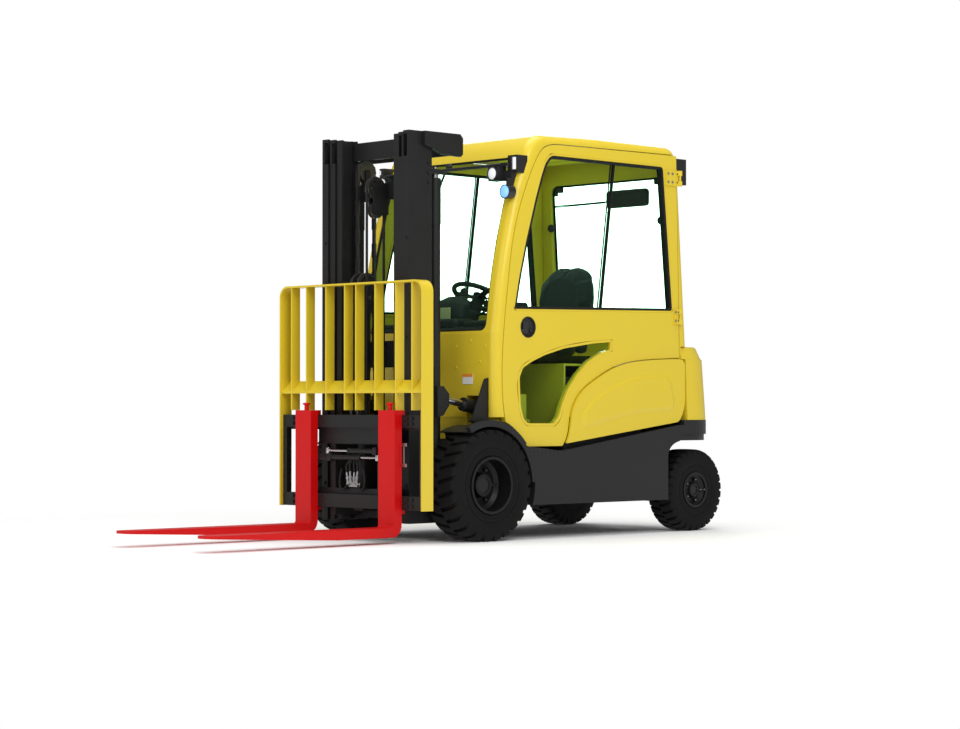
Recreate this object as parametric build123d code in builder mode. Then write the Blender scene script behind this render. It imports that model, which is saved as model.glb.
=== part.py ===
from build123d import *
from math import asin, cos, degrees, hypot, pi, radians, sin, sqrt
import os

os.makedirs("parts", exist_ok=True)

# Counterbalance forklift with a closed cab, a three-stage mast and a sideshifting fork carriage.
# Millimetres. X is the width, Y runs from the fork tips (-Y) to the tail (+Y), Z is up.
# Heights start at the floor. Lengths along Y are counted from the front axle, and the
# origin is put in the middle of the overall length by axle_y.

# Running gear
wheelbase = 1611
front_tyre_radius = 289
front_tyre_width = 225
front_half_track = 476.5
front_rim_radius = 148
rear_tyre_radius = 228
rear_tyre_width = 170
rear_half_track = 481
rear_rim_radius = 99
front_lug_count = 25
rear_lug_count = 29
lug_height = 17
lug_face = 0.68
lug_foot = 0.78
kingpin_half_track = 365
kingpin_radius = 12
well_margin = 18
well_top = 506
rear_overhang = 240

# Clearances
seat_gap = 0.3
pin_gap = 0.08
open_pin_gap = 1

# Forks
fork_face_reach = 502
fork_length = 1170
fork_width = 125
fork_thickness = 49
fork_half_spread = 329
fork_underside = 33
fork_tip_thickness = 14
fork_heel_radius = 62

# Fork bars and backrest
bar_thickness = 30
upper_bar_bottom = 587
upper_bar_top = 652
lower_bar_bottom = 170
lower_bar_top = 240
hook_rebate = 10
hook_rise = 22
backrest_half_width = 563
backrest_top = 1335
backrest_bottom = 169
backrest_depth = 76
backrest_plate = 10
backrest_corner = 60
backrest_bar_depth = 55
backrest_bar_places = (44, 194, 352, 475)
crossbar_front_z = 764
crossbar_rear_z = 820
end_plate_thickness = 30

# Mast
mast_front = -360
mast_depth = 160
mast_top = 2113
mast_bottom = 95
mast_half_width = 342
stage_step_x = 6
stage_step_front = 9
stage_step_rear = 10
outer_flange_width = 46
inner_flange_width = 40
channel_wall = 15
stage_top_step = 5
roller_gap = 0.5

# Lift cylinders, chains and hose pulleys
lift_cylinder_x = 300
lift_cylinder_y = -140
lift_cylinder_radius = 32
lift_rod_radius = 20
lift_cylinder_top = 1880
chain_x = 168
chain_front_y = -255
chain_sheave_radius = 50
chain_sheave_z = 1935
chain_width = 24
chain_thickness = 14
link_pitch = 76.2
wrap_links = 12
free_cylinder_x = -60
free_cylinder_y = -316
free_cylinder_radius = 34
free_cylinder_top = 1255
crosshead_axle_z = 1330
hose_pulley_x = 8
hose_pulley_y = -294
hose_pulley_z = 1834
hose_pulley_radius = 60
guide_pulley_z = 1722
guide_pulley_radius = 43

# Tilt cylinders
tilt_x = 385
tilt_rod_pin_y = -165
tilt_rod_pin_z = 735
tilt_frame_pin_y = 330
tilt_frame_pin_z = 640
tilt_barrel_radius = 36
tilt_rod_radius = 19

# Frame, skirts and counterweight
frame_half_width = 575
frame_bottom = 180
skirt_thickness = 50
fender_inner_radius = 303
fender_radius = 321.7
body_half_width = 560
cab_half_width = 545
counterweight_corner = 230
counterweight_bow = 21
base_split_z = 620
cap_split_z = 959
cap_top = 1029
tow_pin_radius = 15

# Cab
cowl_y = 60
cowl_top = 1076
roof_top = 2140
cab_wall = 42
door_thickness = 34
door_gap = 5
door_sill_z = 486
door_hinge_x = 558
door_hinge_y = 1489
glass_thickness = 5
door_frame_width = 24
floor_z = 500
deck_z = 925

axle_y = (fork_face_reach + fork_length - wheelbase - rear_overhang) / 2
front_axle_z = front_tyre_radius
rear_axle_z = rear_tyre_radius
tail_y = wheelbase + rear_overhang


def side(x):
    """A plane at x: sketch x is along the truck from the front axle, sketch y is height."""
    return Plane(origin=(x, axle_y, 0), x_dir=(0, 1, 0), z_dir=(1, 0, 0))


def level(z):
    """A plane at height z: sketch x is across the truck, sketch y is along it."""
    return Plane(origin=(0, axle_y, z), x_dir=(1, 0, 0), z_dir=(0, 0, 1))


def across(y):
    """An upright plane at y that faces the forks: sketch x is across, sketch y is height."""
    return Plane(origin=(0, axle_y + y, 0), x_dir=(1, 0, 0), z_dir=(0, -1, 0))


def block(x0, x1, y0, y1, z0, z1, mode=Mode.ADD):
    """A rectangular block between two corners, in truck coordinates."""
    with BuildSketch(level(z0)) as plan:
        with Locations(((x0 + x1) / 2, (y0 + y1) / 2)):
            Rectangle(abs(x1 - x0), abs(y1 - y0))
    extrude(plan.sketch, amount=z1 - z0, mode=mode)


def pair_block(x0, x1, y0, y1, z0, z1, mode=Mode.ADD):
    """The same block on the left and on the right."""
    for hand in (1, -1):
        block(hand * x0, hand * x1, y0, y1, z0, z1, mode)


def rod_x(x0, x1, y, z, radius, mode=Mode.ADD):
    """A round bar or bore across the truck."""
    with BuildSketch(side(min(x0, x1))) as section:
        with Locations((y, z)):
            Circle(radius)
    extrude(section.sketch, amount=abs(x1 - x0), mode=mode)


def rod_z(x, y, z0, z1, radius, mode=Mode.ADD):
    """An upright round bar or bore."""
    with BuildSketch(level(z0)) as section:
        with Locations((x, y)):
            Circle(radius)
    extrude(section.sketch, amount=z1 - z0, mode=mode)


def rod_y(x, y0, y1, z, radius, mode=Mode.ADD):
    """A round bar or bore along the truck."""
    with BuildSketch(across(y1)) as section:
        with Locations((x, z)):
            Circle(radius)
    extrude(section.sketch, amount=y1 - y0, mode=mode)


def finish(builder, name):
    """Label a finished piece and write it."""
    builder.part.label = name
    export_step(builder.part, "parts/" + name + ".step")


def mirrored(source, name):
    """Write the right-hand copy of a left-hand piece."""
    with BuildPart() as copy:
        mirror(source.part, about=Plane.YZ)
    finish(copy, name)
    return copy


# Tyres: straight cross lugs between sloped shoulders, all in flat faces.
def tyre(centre, radius, width, rim_radius, lugs):
    half = width / 2
    crown_x = half - 0.06 * width
    bead_x = half - 0.04 * width
    groove_radius = radius - lug_height
    crown_corner = groove_radius / cos(pi / lugs)
    foot_radius = groove_radius / cos(pi * (1 - lug_foot) / lugs)
    face_radius = radius / cos(pi * lug_face / lugs)
    bore = (rim_radius + seat_gap) / cos(pi / lugs)
    bulge_radius = 0.5 * (bore + groove_radius)
    corners = []
    for index in range(lugs):
        for share, reach in (
            (-0.5 * lug_foot, foot_radius), (-0.5 * lug_face, face_radius),
            (0.5 * lug_face, face_radius), (0.5 * lug_foot, foot_radius),
        ):
            angle = 2 * pi * (index + 0.5 + share) / lugs
            corners.append((reach * sin(angle), reach * cos(angle)))

    def disc(x):
        return Plane(origin=(centre[0] + x, centre[1], centre[2]), x_dir=(0, 1, 0), z_dir=(1, 0, 0))

    def ring(levels, mode=Mode.ADD):
        sections = []
        for x, corner_radius in levels:
            with BuildSketch(disc(x)) as section:
                RegularPolygon(corner_radius, lugs, rotation=90, align=None)
            sections.append(section.sketch)
        loft(sections, ruled=True, mode=mode)

    with BuildPart() as result:
        with BuildSketch(disc(-crown_x)) as tread:
            Polygon(*corners, align=None)
        extrude(tread.sketch, amount=2 * crown_x)
        for end in (1, -1):
            ring(((end * crown_x, crown_corner), (end * half, bulge_radius)))
            ring(((end * half, bulge_radius), (end * bead_x, bore)), Mode.SUBTRACT)
        ring(((-half - 1, bore), (half + 1, bore)), Mode.SUBTRACT)
    return result


# Rims: a dished disc between two flanges, with a hub and a ring of wheel nuts.
def rim(centre, rim_radius, width, disc_x, hub_radius, bore, nuts, nut_circle, hub_out):
    axis = Axis(centre, (1, 0, 0))
    section = Plane(origin=centre, x_dir=(1, 0, 0), z_dir=(0, -1, 0))
    half = width / 2 - 4
    wall = 10
    disc = 12
    x_disc = disc_x - centre[0]
    with BuildPart() as result:
        with BuildSketch(section):
            with BuildLine():
                Polyline(
                    (-half, rim_radius), (half, rim_radius), (half, rim_radius - wall - 4),
                    (half - 14, rim_radius - wall), (x_disc + disc + 16, rim_radius - wall - 3),
                    (x_disc + disc, rim_radius - wall - 24), (x_disc + disc, hub_radius + 6),
                    (x_disc + disc + 6, hub_radius), (x_disc + disc + hub_out, hub_radius - 5),
                    (x_disc + disc + hub_out, bore), (x_disc - 26, bore),
                    (x_disc - 26, hub_radius), (x_disc, hub_radius + 10),
                    (x_disc, rim_radius - wall - 18), (x_disc - 10, rim_radius - wall),
                    (-half + 10, rim_radius - wall), (-half, rim_radius - wall - 4),
                    (-half, rim_radius),
                )
            make_face()
        revolve(axis=axis)
        with BuildSketch(side(disc_x + disc)):
            with Locations((centre[1] - axle_y, centre[2])):
                with PolarLocations(nut_circle, nuts):
                    RegularPolygon(9, 6)
        extrude(amount=11)
    return result


front_centre = (front_half_track, axle_y, front_axle_z)
rear_centre = (rear_half_track, axle_y + wheelbase, rear_axle_z)
front_disc_x = front_half_track - 12
rear_disc_x = rear_half_track + 38
front_spindle_radius = 40
rear_spindle_radius = 24

tyre_front_left = tyre(
    front_centre, front_tyre_radius, front_tyre_width, front_rim_radius, front_lug_count,
)
finish(tyre_front_left, "tyre_front_left")
mirrored(tyre_front_left, "tyre_front_right")
tyre_rear_left = tyre(
    rear_centre, rear_tyre_radius, rear_tyre_width, rear_rim_radius, rear_lug_count,
)
finish(tyre_rear_left, "tyre_rear_left")
mirrored(tyre_rear_left, "tyre_rear_right")

rim_front_left = rim(
    front_centre, front_rim_radius, front_tyre_width, front_disc_x, 62,
    front_spindle_radius + pin_gap, 6, 88, 44,
)
finish(rim_front_left, "rim_front_left")
mirrored(rim_front_left, "rim_front_right")
rim_rear_left = rim(
    rear_centre, rear_rim_radius, rear_tyre_width, rear_disc_x, 42,
    rear_spindle_radius + pin_gap, 5, 60, 22,
)
finish(rim_rear_left, "rim_rear_left")
mirrored(rim_rear_left, "rim_rear_right")

# Drive axle: a motor and gear housing between two tubes that carry the mast and the wheels.
axle_tube_radius = 70
axle_tube_end = 356
motor_radius = 104
motor_half_length = 186
front_spindle_end = front_disc_x + 12 + 40
with BuildPart() as drive_axle:
    rod_x(-axle_tube_end, axle_tube_end, 0, front_axle_z, axle_tube_radius)
    rod_x(-motor_half_length, motor_half_length, 0, front_axle_z, motor_radius)
    rod_x(-60, 60, 0, front_axle_z, motor_radius + 14)
    for hand in (1, -1):
        rod_x(hand * (axle_tube_end - 8), hand * (axle_tube_end + 22), 0, front_axle_z, 112)
        rod_x(hand * axle_tube_end, hand * (front_disc_x - 32), 0, front_axle_z, 60)
        rod_x(hand * axle_tube_end, hand * front_spindle_end, 0, front_axle_z, front_spindle_radius)
    for edge_x in (motor_half_length, -motor_half_length):
        rim_edges = drive_axle.edges().filter_by(GeomType.CIRCLE).filter_by(
            lambda e: abs(e.arc_center.X - edge_x) < 0.1 and abs(e.radius - motor_radius) < 0.1
        )
        fillet(rim_edges, 14)
finish(drive_axle, "drive_axle")

# Steer axle: a beam on a fore and aft pivot, with ears for the kingpins and its steering ram.
ear_radius = 26
ear_thickness = 20
kingpin_half_height = 70
beam_half_depth = 26
beam_pivot_radius = 32
beam_pivot_z = 250
front_trunnion_y = wheelbase - 171
rear_trunnion_y = wheelbase + 135
steer_ram_y = wheelbase - 52
steer_ram_radius = 24
with BuildPart() as steer_axle:
    with BuildSketch(across(wheelbase + beam_half_depth)):
        Polygon(
            (-330, rear_axle_z - 70), (330, rear_axle_z - 70), (330, rear_axle_z + 70),
            (250, rear_axle_z + 62), (90, beam_pivot_z + 62), (-90, beam_pivot_z + 62),
            (-250, rear_axle_z + 62), (-330, rear_axle_z + 70), align=None,
        )
    extrude(amount=2 * beam_half_depth)
    rod_y(0, front_trunnion_y, rear_trunnion_y + 45, beam_pivot_z, beam_pivot_radius)
    rod_y(0, wheelbase - 90, wheelbase + 90, beam_pivot_z, beam_pivot_radius + 18)
    for hand in (1, -1):
        for low in (rear_axle_z - kingpin_half_height, rear_axle_z + kingpin_half_height - ear_thickness):
            rod_z(hand * kingpin_half_track, wheelbase, low, low + ear_thickness, ear_radius)
            block(
                hand * 328, hand * kingpin_half_track, wheelbase - beam_half_depth,
                wheelbase + beam_half_depth, low, low + ear_thickness,
            )
        rod_z(
            hand * kingpin_half_track, wheelbase, rear_axle_z - kingpin_half_height,
            rear_axle_z + kingpin_half_height + 4, kingpin_radius,
        )
    rod_x(-150, 150, steer_ram_y, rear_axle_z - 26, steer_ram_radius)
    rod_x(-190, 190, steer_ram_y, rear_axle_z - 26, 11)
    for hand in (1, -1):
        block(
            hand * 118, hand * 142, steer_ram_y, wheelbase - beam_half_depth,
            rear_axle_z - 46, rear_axle_z - 6,
        )
finish(steer_axle, "steer_axle")

knuckle_half = kingpin_half_height - ear_thickness - seat_gap
with BuildPart() as knuckle_left:
    rod_z(kingpin_half_track, wheelbase, rear_axle_z - knuckle_half, rear_axle_z + knuckle_half, 23)
    rod_x(kingpin_half_track, rear_disc_x - 27, wheelbase, rear_axle_z, 31)
    rod_x(kingpin_half_track, rear_disc_x + 30, wheelbase, rear_axle_z, rear_spindle_radius)
    rod_z(
        kingpin_half_track, wheelbase, rear_axle_z - knuckle_half - 1, rear_axle_z + knuckle_half + 1,
        kingpin_radius + pin_gap, Mode.SUBTRACT,
    )
finish(knuckle_left, "knuckle_left")
mirrored(knuckle_left, "knuckle_right")


# The rear wheel wells are the turning circles of the steered wheels, with a rounded top.
wheel_outer = rear_half_track + rear_tyre_width / 2
well_radius = hypot(wheel_outer - kingpin_half_track, rear_tyre_radius) + well_margin
well_crown = 90


def wheel_wells():
    """The two well solids, made apart from the piece that they cut."""
    with BuildPart() as wells:
        for hand in (1, -1):
            rod_z(hand * kingpin_half_track, wheelbase, frame_bottom - 160, well_top, well_radius)
    return fillet_tops(wells.part)


def fillet_tops(wells):
    tops = wells.edges().filter_by(lambda e: abs(e.center().Z - well_top) < 0.1)
    return wells.fillet(well_crown, tops)


rear_wells = wheel_wells()

# Skirt outline, one side: front arch round the front wheel, straight sill, rising top edge.
skirt_front_y = 252
skirt_rear_y = 1466
skirt_top_front_z = 460
skirt_top_rear_z = 592
battery_front_y = 640
battery_rear_y = 1270
battery_half_width = 470
battery_top = 850
frame_rear_wall_y = 1284
spine_half_width = 36


def arch_height(y, radius):
    return front_axle_z + sqrt(radius**2 - y**2)


def arch_reach(z, radius):
    return sqrt(radius**2 - (z - front_axle_z) ** 2)


arch_clear = fender_radius + seat_gap
arch_low = (arch_reach(frame_bottom, arch_clear), frame_bottom)
arch_mid_angle = radians(12)
arch_mid = (arch_clear * cos(arch_mid_angle), front_axle_z + arch_clear * sin(arch_mid_angle))
arch_high = (skirt_front_y, arch_height(skirt_front_y, arch_clear))


def skirt_outline():
    """Side outline of a skirt as a sketch."""
    with BuildSketch() as outline:
        with BuildLine():
            ThreePointArc(arch_low, arch_mid, arch_high)
            Line(arch_high, (skirt_front_y + 60, arch_high[1] - 6))
            Line((skirt_front_y + 60, arch_high[1] - 6), (524, skirt_top_front_z))
            Line((524, skirt_top_front_z), (skirt_rear_y, skirt_top_rear_z))
            Line((skirt_rear_y, skirt_top_rear_z), (skirt_rear_y, frame_bottom))
            Line((skirt_rear_y, frame_bottom), arch_low)
        make_face()
    return outline.sketch


with BuildPart() as frame:
    for hand in (1, -1):
        with BuildSketch(side(hand * frame_half_width - (skirt_thickness if hand > 0 else 0))):
            add(skirt_outline())
        extrude(amount=skirt_thickness)
    inner = frame_half_width - skirt_thickness
    # Floor plate under the battery, cross walls, spine and rear cross beam.
    block(-inner, inner, arch_low[0] + 6, frame_rear_wall_y, frame_bottom, frame_bottom + 20)
    block(-inner, inner, 325, 349, frame_bottom, floor_z - 14 - seat_gap)
    pair_block(cab_half_width - door_thickness - door_gap, inner + 1, 324, 350, door_sill_z - 8, floor_z,
               Mode.SUBTRACT)
    block(-inner, inner, 590, 606, frame_bottom, floor_z - 14 - seat_gap)
    block(-inner, inner, frame_rear_wall_y - 14, frame_rear_wall_y, frame_bottom, 560)
    block(-spine_half_width, spine_half_width, frame_rear_wall_y - 6, front_trunnion_y + 32, 190, 420)
    block(-inner, inner, frame_rear_wall_y - 6, skirt_rear_y, 520, 560)
    # Axle plates that run forward beside the mast feet.
    for x0 in (275, -330):
        with BuildSketch(side(x0)):
            with BuildLine():
                Line((332, frame_bottom + 10), (332, 448))
                Line((332, 448), (150, floor_z - 14 - seat_gap))
                Line((150, floor_z - 14 - seat_gap), (40, floor_z - 14 - seat_gap))
                Line((40, floor_z - 14 - seat_gap), (-20, front_axle_z + 88))
                ThreePointArc((-20, front_axle_z + 88), (-90, front_axle_z), (-20, front_axle_z - 88))
                Line((-20, front_axle_z - 88), (332, frame_bottom + 10))
            make_face()
        extrude(amount=55)
    block(-330, 330, 150, 174, 330, floor_z - 14 - seat_gap)
    rod_x(-340, 340, 0, front_axle_z, axle_tube_radius + seat_gap, Mode.SUBTRACT)
    # Clevis plates for the tilt cylinders.
    for hand in (1, -1):
        for ear in (tilt_x - 52, tilt_x + 38):
            low_x = ear if hand > 0 else -ear - 14
            with BuildSketch(side(low_x)):
                with BuildLine():
                    Line((349, 440), (tilt_frame_pin_y + 34, tilt_frame_pin_z))
                    ThreePointArc(
                        (tilt_frame_pin_y + 34, tilt_frame_pin_z),
                        (tilt_frame_pin_y, tilt_frame_pin_z + 34),
                        (tilt_frame_pin_y - 34, tilt_frame_pin_z),
                    )
                    Line((tilt_frame_pin_y - 34, tilt_frame_pin_z), (325, 440))
                    Line((325, 440), (349, 440))
                make_face()
            extrude(amount=14)
    for hand in (1, -1):
        rod_x(
            hand * (tilt_x - 52), hand * (tilt_x + 52), tilt_frame_pin_y, tilt_frame_pin_z, 16,
        )
    add(rear_wells, mode=Mode.SUBTRACT)
    rod_y(0, front_trunnion_y - 1, front_trunnion_y + 40, beam_pivot_z, beam_pivot_radius + seat_gap,
          Mode.SUBTRACT)
finish(frame, "frame")

# Traction battery: the closed mass under the seat.
with BuildPart() as battery:
    block(-battery_half_width, battery_half_width, battery_front_y, battery_rear_y,
          frame_bottom + 20, battery_top)
    fillet(battery.edges().filter_by(Axis.Z), 12)
finish(battery, "battery")


def tail_outline(half_width, front_y, shrink=0.0):
    """Plan of the tail: straight sides, rounded corners and a bowed rear."""
    corner = counterweight_corner
    rear = tail_y - shrink
    edge = rear - counterweight_bow
    w = half_width - shrink
    mid = corner * (1 - sin(radians(45)))
    with BuildSketch() as outline:
        with BuildLine():
            Line((-w, front_y), (w, front_y))
            Line((w, front_y), (w, edge - corner))
            ThreePointArc((w, edge - corner), (w - mid, edge - mid), (w - corner, edge))
            ThreePointArc((w - corner, edge), (0, rear), (-w + corner, edge))
            ThreePointArc((-w + corner, edge), (-w + mid, edge - mid), (-w, edge - corner))
            Line((-w, edge - corner), (-w, front_y))
        make_face()
    return outline.sketch


# Lower counterweight: the dark casting with the wheel wells, the rear trunnion and the tail block.
tail_block_half = 140
trunnion_bore = beam_pivot_radius + seat_gap
with BuildPart() as counterweight_base:
    with BuildSketch(level(540)):
        add(tail_outline(frame_half_width, skirt_rear_y))
    extrude(amount=base_split_z - 540)
    with BuildSketch(level(506)):
        add(tail_outline(frame_half_width, skirt_rear_y, 8))
    extrude(amount=40)
    block(-tail_block_half, tail_block_half, wheelbase + 130, tail_y - 6, 165, 540)
    fillet(counterweight_base.edges().filter_by(Axis.Z).filter_by(
        lambda e: e.center().Y > axle_y + tail_y - 12 and e.center().Z < 500), 24)
    block(-frame_half_width - 1, frame_half_width + 1, skirt_rear_y - 1, wheelbase - 110,
          base_split_z - 28, base_split_z + 1, Mode.SUBTRACT)
    add(rear_wells, mode=Mode.SUBTRACT)
    rod_y(0, wheelbase + 100, rear_trunnion_y + 46, beam_pivot_z, trunnion_bore, Mode.SUBTRACT)
finish(counterweight_base, "counterweight_base")

# Upper counterweight: a tapered casting with a recess for the tow pin.
tow_pocket_half = 90
tow_pocket_low = 690
tow_pocket_high = 800
tow_pocket_depth = 110
body_front_y = 1532
with BuildPart() as counterweight:
    with BuildSketch(level(base_split_z)):
        add(tail_outline(frame_half_width, body_front_y, 2))
    with BuildSketch(level(682)):
        add(tail_outline(frame_half_width, body_front_y, 4))
    with BuildSketch(level(cap_split_z)):
        add(tail_outline(frame_half_width, body_front_y, 17))
    loft(ruled=True)
    tow_y = tail_y - 55
    block(-tow_pocket_half, tow_pocket_half, tail_y - tow_pocket_depth, tail_y + 10,
          tow_pocket_low, tow_pocket_high, Mode.SUBTRACT)
    rod_z(0, tow_y, tow_pocket_low - 60, cap_split_z + 1, tow_pin_radius, Mode.SUBTRACT)
    block(-tow_pocket_half + 20, tow_pocket_half - 20, tail_y - 95, tail_y + 20,
          870, cap_split_z + 1, Mode.SUBTRACT)
finish(counterweight, "counterweight")

# Cap over the counterweight, and the bonnet between it and the cab.
with BuildPart() as rear_cap:
    with BuildSketch(level(cap_split_z)):
        add(tail_outline(frame_half_width, body_front_y - 24, 21))
    with BuildSketch(level(cap_top)):
        add(tail_outline(frame_half_width, body_front_y - 24, 44))
    loft(ruled=True)
    top_edges = rear_cap.edges().filter_by(lambda e: abs(e.center().Z - cap_top) < 0.5)
    fillet(top_edges.filter_by(lambda e: e.center().Y > axle_y + body_front_y), 20)
    block(-540, 540, body_front_y - 40, 1610, cap_split_z - 1, 990, Mode.SUBTRACT)
    block(-tow_pocket_half + 20, tow_pocket_half - 20, tail_y - 95, tail_y + 20, cap_split_z - 1,
          cap_top + 1, Mode.SUBTRACT)
finish(rear_cap, "rear_cap")

# Door outline, seen from the left, used for the door, its opening and the battery panel.
door_front = (
    (521, 2084), (460, 2076), (408, 2052), (372, 2010), (300, 1878), (234, 1721), (189, 1560),
    (160, 1380), (131, 1159), (113, 951), (112, 800), (121, 693),
)
door_sill_radius = 353
door_low_angle = 67.4
door_low = (
    door_sill_radius * cos(radians(door_low_angle)),
    front_axle_z + door_sill_radius * sin(radians(door_low_angle)),
)
door_sill_front = (arch_reach(door_sill_z, door_sill_radius), door_sill_z)
door_sill_rear = (556, door_sill_z)
door_curve = (
    (601, 575), (614, 652), (670, 754), (791, 837), (958, 911), (1173, 950), (1442, 964),
)
door_rear_low = (1493, 966)
door_rear_high = (1470, 2092)
belly_angle = radians((door_low_angle + degrees(asin((door_sill_z - front_axle_z) / door_sill_radius))) / 2)
door_belly = (
    door_sill_radius * cos(belly_angle), front_axle_z + door_sill_radius * sin(belly_angle),
)


def moved_out(points, amount):
    """The corners of a closed outline moved outward by an amount."""
    count = len(points)
    area = sum(
        points[i - 1][0] * points[i][1] - points[i][0] * points[i - 1][1] for i in range(count)
    )
    turn = 1 if area > 0 else -1
    result = []
    for i, (y, z) in enumerate(points):
        normals = []
        for start, end in ((points[i - 1], (y, z)), ((y, z), points[(i + 1) % count])):
            length = hypot(end[0] - start[0], end[1] - start[1])
            normals.append((turn * (end[1] - start[1]) / length, -turn * (end[0] - start[0]) / length))
        (a_y, a_z), (b_y, b_z) = normals
        scale = amount / (1 + a_y * b_y + a_z * b_z)
        result.append((y + (a_y + b_y) * scale, z + (a_z + b_z) * scale))
    return result


def run_outline(runs, grow):
    """A closed outline of straight and curved runs, moved outward by an amount."""
    corners = moved_out([point for run in runs for point in run[:-1]], grow)
    first = 0
    with BuildSketch() as outline:
        with BuildLine():
            for run in runs:
                last = first + len(run) - 1
                points = [corners[i % len(corners)] for i in range(first, last + 1)]
                if len(points) == 2:
                    Line(*points)
                else:
                    Spline(*points)
                first = last
        make_face()
    return outline.sketch


def door_outline(grow=0.0):
    """The door's outline, grown by a gap for the opening that it shuts."""
    runs = (
        (door_rear_high, door_front[0]),
        (*door_front, door_low),
        (door_low, door_belly, door_sill_front),
        (door_sill_front, door_sill_rear),
        (door_sill_rear, *door_curve),
        (door_curve[-1], door_rear_low),
        (door_rear_low, door_rear_high),
    )
    return run_outline(runs, grow)


window_low_front = (187, 1194)
window_low_rear = (1447, 1217)
window_high_rear = (1369, 2033)
window_high_front = (470, 2035)
window_corner_radius = 34
divider_top = (953, 2034)
divider_bottom = (841, 1206)
divider_width = 26


def window_outline(shrink=0.0):
    """The door window's outline, drawn in by an amount."""
    runs = (
        (window_low_front, window_low_rear),
        (window_low_rear, window_high_rear),
        (window_high_rear, window_high_front),
        (
            window_high_front, (426, 1992), (395, 1925), (345, 1785), (275, 1560), (225, 1372),
            window_low_front,
        ),
    )
    with BuildSketch() as outline:
        add(run_outline(runs, -shrink))
        corners = outline.vertices().filter_by(lambda v: v.Y < 1300 or v.X > 1300)
        fillet(corners, window_corner_radius - min(shrink, 0.6 * window_corner_radius))
    return outline.sketch


lower_pane_points = (
    (800, 1049), (570, 1018), (425, 981), (324, 944), (253, 908), (224, 850), (233, 693),
    (258, 620), (296, 593),
)
lower_pane_rear = (
    (504, 591), (547, 632), (569, 693), (614, 775), (687, 857), (777, 929), (867, 972), (947, 992),
)


def lower_pane_outline(shrink=0.0):
    """The outline of the low pane in the door, drawn in by an amount."""
    runs = (
        (lower_pane_rear[-1], (947, 1059)),
        ((947, 1059), lower_pane_points[0]),
        lower_pane_points,
        (lower_pane_points[-1], lower_pane_rear[0]),
        lower_pane_rear,
    )
    return run_outline(runs, -shrink)


handle_centre = (299, 1111)
handle_radius = 56
door_inner_x = cab_half_width - door_thickness


# Left door: a flush panel with its window, its lower pane and the recess of its handle.
with BuildPart() as door_left:
    with BuildSketch(side(door_inner_x)):
        add(door_outline())
    extrude(amount=door_thickness)
    with BuildSketch(side(door_inner_x)):
        add(window_outline())
    extrude(amount=door_thickness, mode=Mode.SUBTRACT)
    with BuildSketch(side(door_inner_x)):
        add(lower_pane_outline())
    extrude(amount=door_thickness, mode=Mode.SUBTRACT)
    with BuildSketch(side(cab_half_width)):
        with Locations(handle_centre):
            Circle(handle_radius)
    extrude(amount=-18, taper=12, mode=Mode.SUBTRACT)
    # Hinge leaves with their outer knuckles.
    for low_z, leaf_front in ((1152, 1446), (1923, 1380)):
        block(cab_half_width - 2, cab_half_width + 8, leaf_front, door_hinge_y - 8, low_z, low_z + 86)
        rod_z(door_hinge_x, door_hinge_y, low_z, low_z + 28, 12)
        block(cab_half_width - 1, door_hinge_x, door_hinge_y - 30, door_hinge_y, low_z, low_z + 28)
        rod_z(door_hinge_x, door_hinge_y, low_z + 58, low_z + 86, 12)
        block(cab_half_width - 1, door_hinge_x, door_hinge_y - 30, door_hinge_y, low_z + 58, low_z + 86)
        rod_z(door_hinge_x, door_hinge_y, low_z, low_z + 86, 6)
finish(door_left, "door_left")
mirrored(door_left, "door_right")

# Door trim: the dark frames round both panes, the slanted bar between the sliding panes and the handle.
pane_x = cab_half_width - 20


def divider_outline(grow=0.0):
    """The slanted bar between the two sliding panes."""
    low_y, low_z = divider_bottom
    high_y, high_z = divider_top
    with BuildSketch() as outline:
        Polygon(
            (low_y - grow, low_z), (low_y + divider_width + grow, low_z),
            (high_y + divider_width + grow, high_z), (high_y - grow, high_z), align=None,
        )
    return outline.sketch


with BuildPart() as door_trim_left:
    with BuildSketch(side(door_inner_x - 3)):
        add(window_outline(seat_gap))
        add(window_outline(door_frame_width), mode=Mode.SUBTRACT)
        add(divider_outline())
        add(window_outline(seat_gap), mode=Mode.INTERSECT)
    extrude(amount=door_thickness + 6)
    with BuildSketch(side(door_inner_x - 3)):
        add(lower_pane_outline(seat_gap))
        add(lower_pane_outline(0.6 * door_frame_width), mode=Mode.SUBTRACT)
    extrude(amount=door_thickness + 6)
    # The handle is a cup in the recess with a paddle lever.
    with BuildSketch(side(cab_half_width - 18 + seat_gap)):
        with Locations(handle_centre):
            Circle(handle_radius - 14)
    extrude(amount=8)
    with BuildSketch(side(cab_half_width - 12)):
        with Locations((handle_centre[0] + 4, handle_centre[1] + 6)):
            SlotOverall(76, 26)
    extrude(amount=14)
finish(door_trim_left, "door_trim_left")
mirrored(door_trim_left, "door_trim_right")

# Glass of the left door: two sliding panes and the lower pane.
pane_gap = divider_width + seat_gap
low_y, low_z = divider_bottom
high_y, high_z = divider_top
with BuildPart() as door_glass_left:
    for far_y, shift in ((100, -seat_gap), (1500, pane_gap)):
        with BuildSketch(side(pane_x)):
            Polygon((low_y + shift, low_z), (far_y, low_z), (far_y, high_z), (high_y + shift, high_z),
                    align=None)
            add(window_outline(door_frame_width + seat_gap), mode=Mode.INTERSECT)
        extrude(amount=glass_thickness)
    with BuildSketch(side(pane_x)):
        add(lower_pane_outline(0.6 * door_frame_width + seat_gap))
    extrude(amount=glass_thickness)
finish(door_glass_left, "door_glass_left")
mirrored(door_glass_left, "door_glass_right")

# Cab shell: a hollow body with rounded pillars, cut for doors, screens and roof.
cab_front = (
    (cowl_y, cowl_top), (84, 1250), (109, 1400), (150, 1590), (225, 1857), (290, 2020),
)
cab_step_z = cap_top + seat_gap
cab_rear_low = (1570, cab_step_z)
cab_rear_high = (1503, 1990)
cab_corner = 46
roof_front_y = 420
cab_bottom_z = 640


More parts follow.
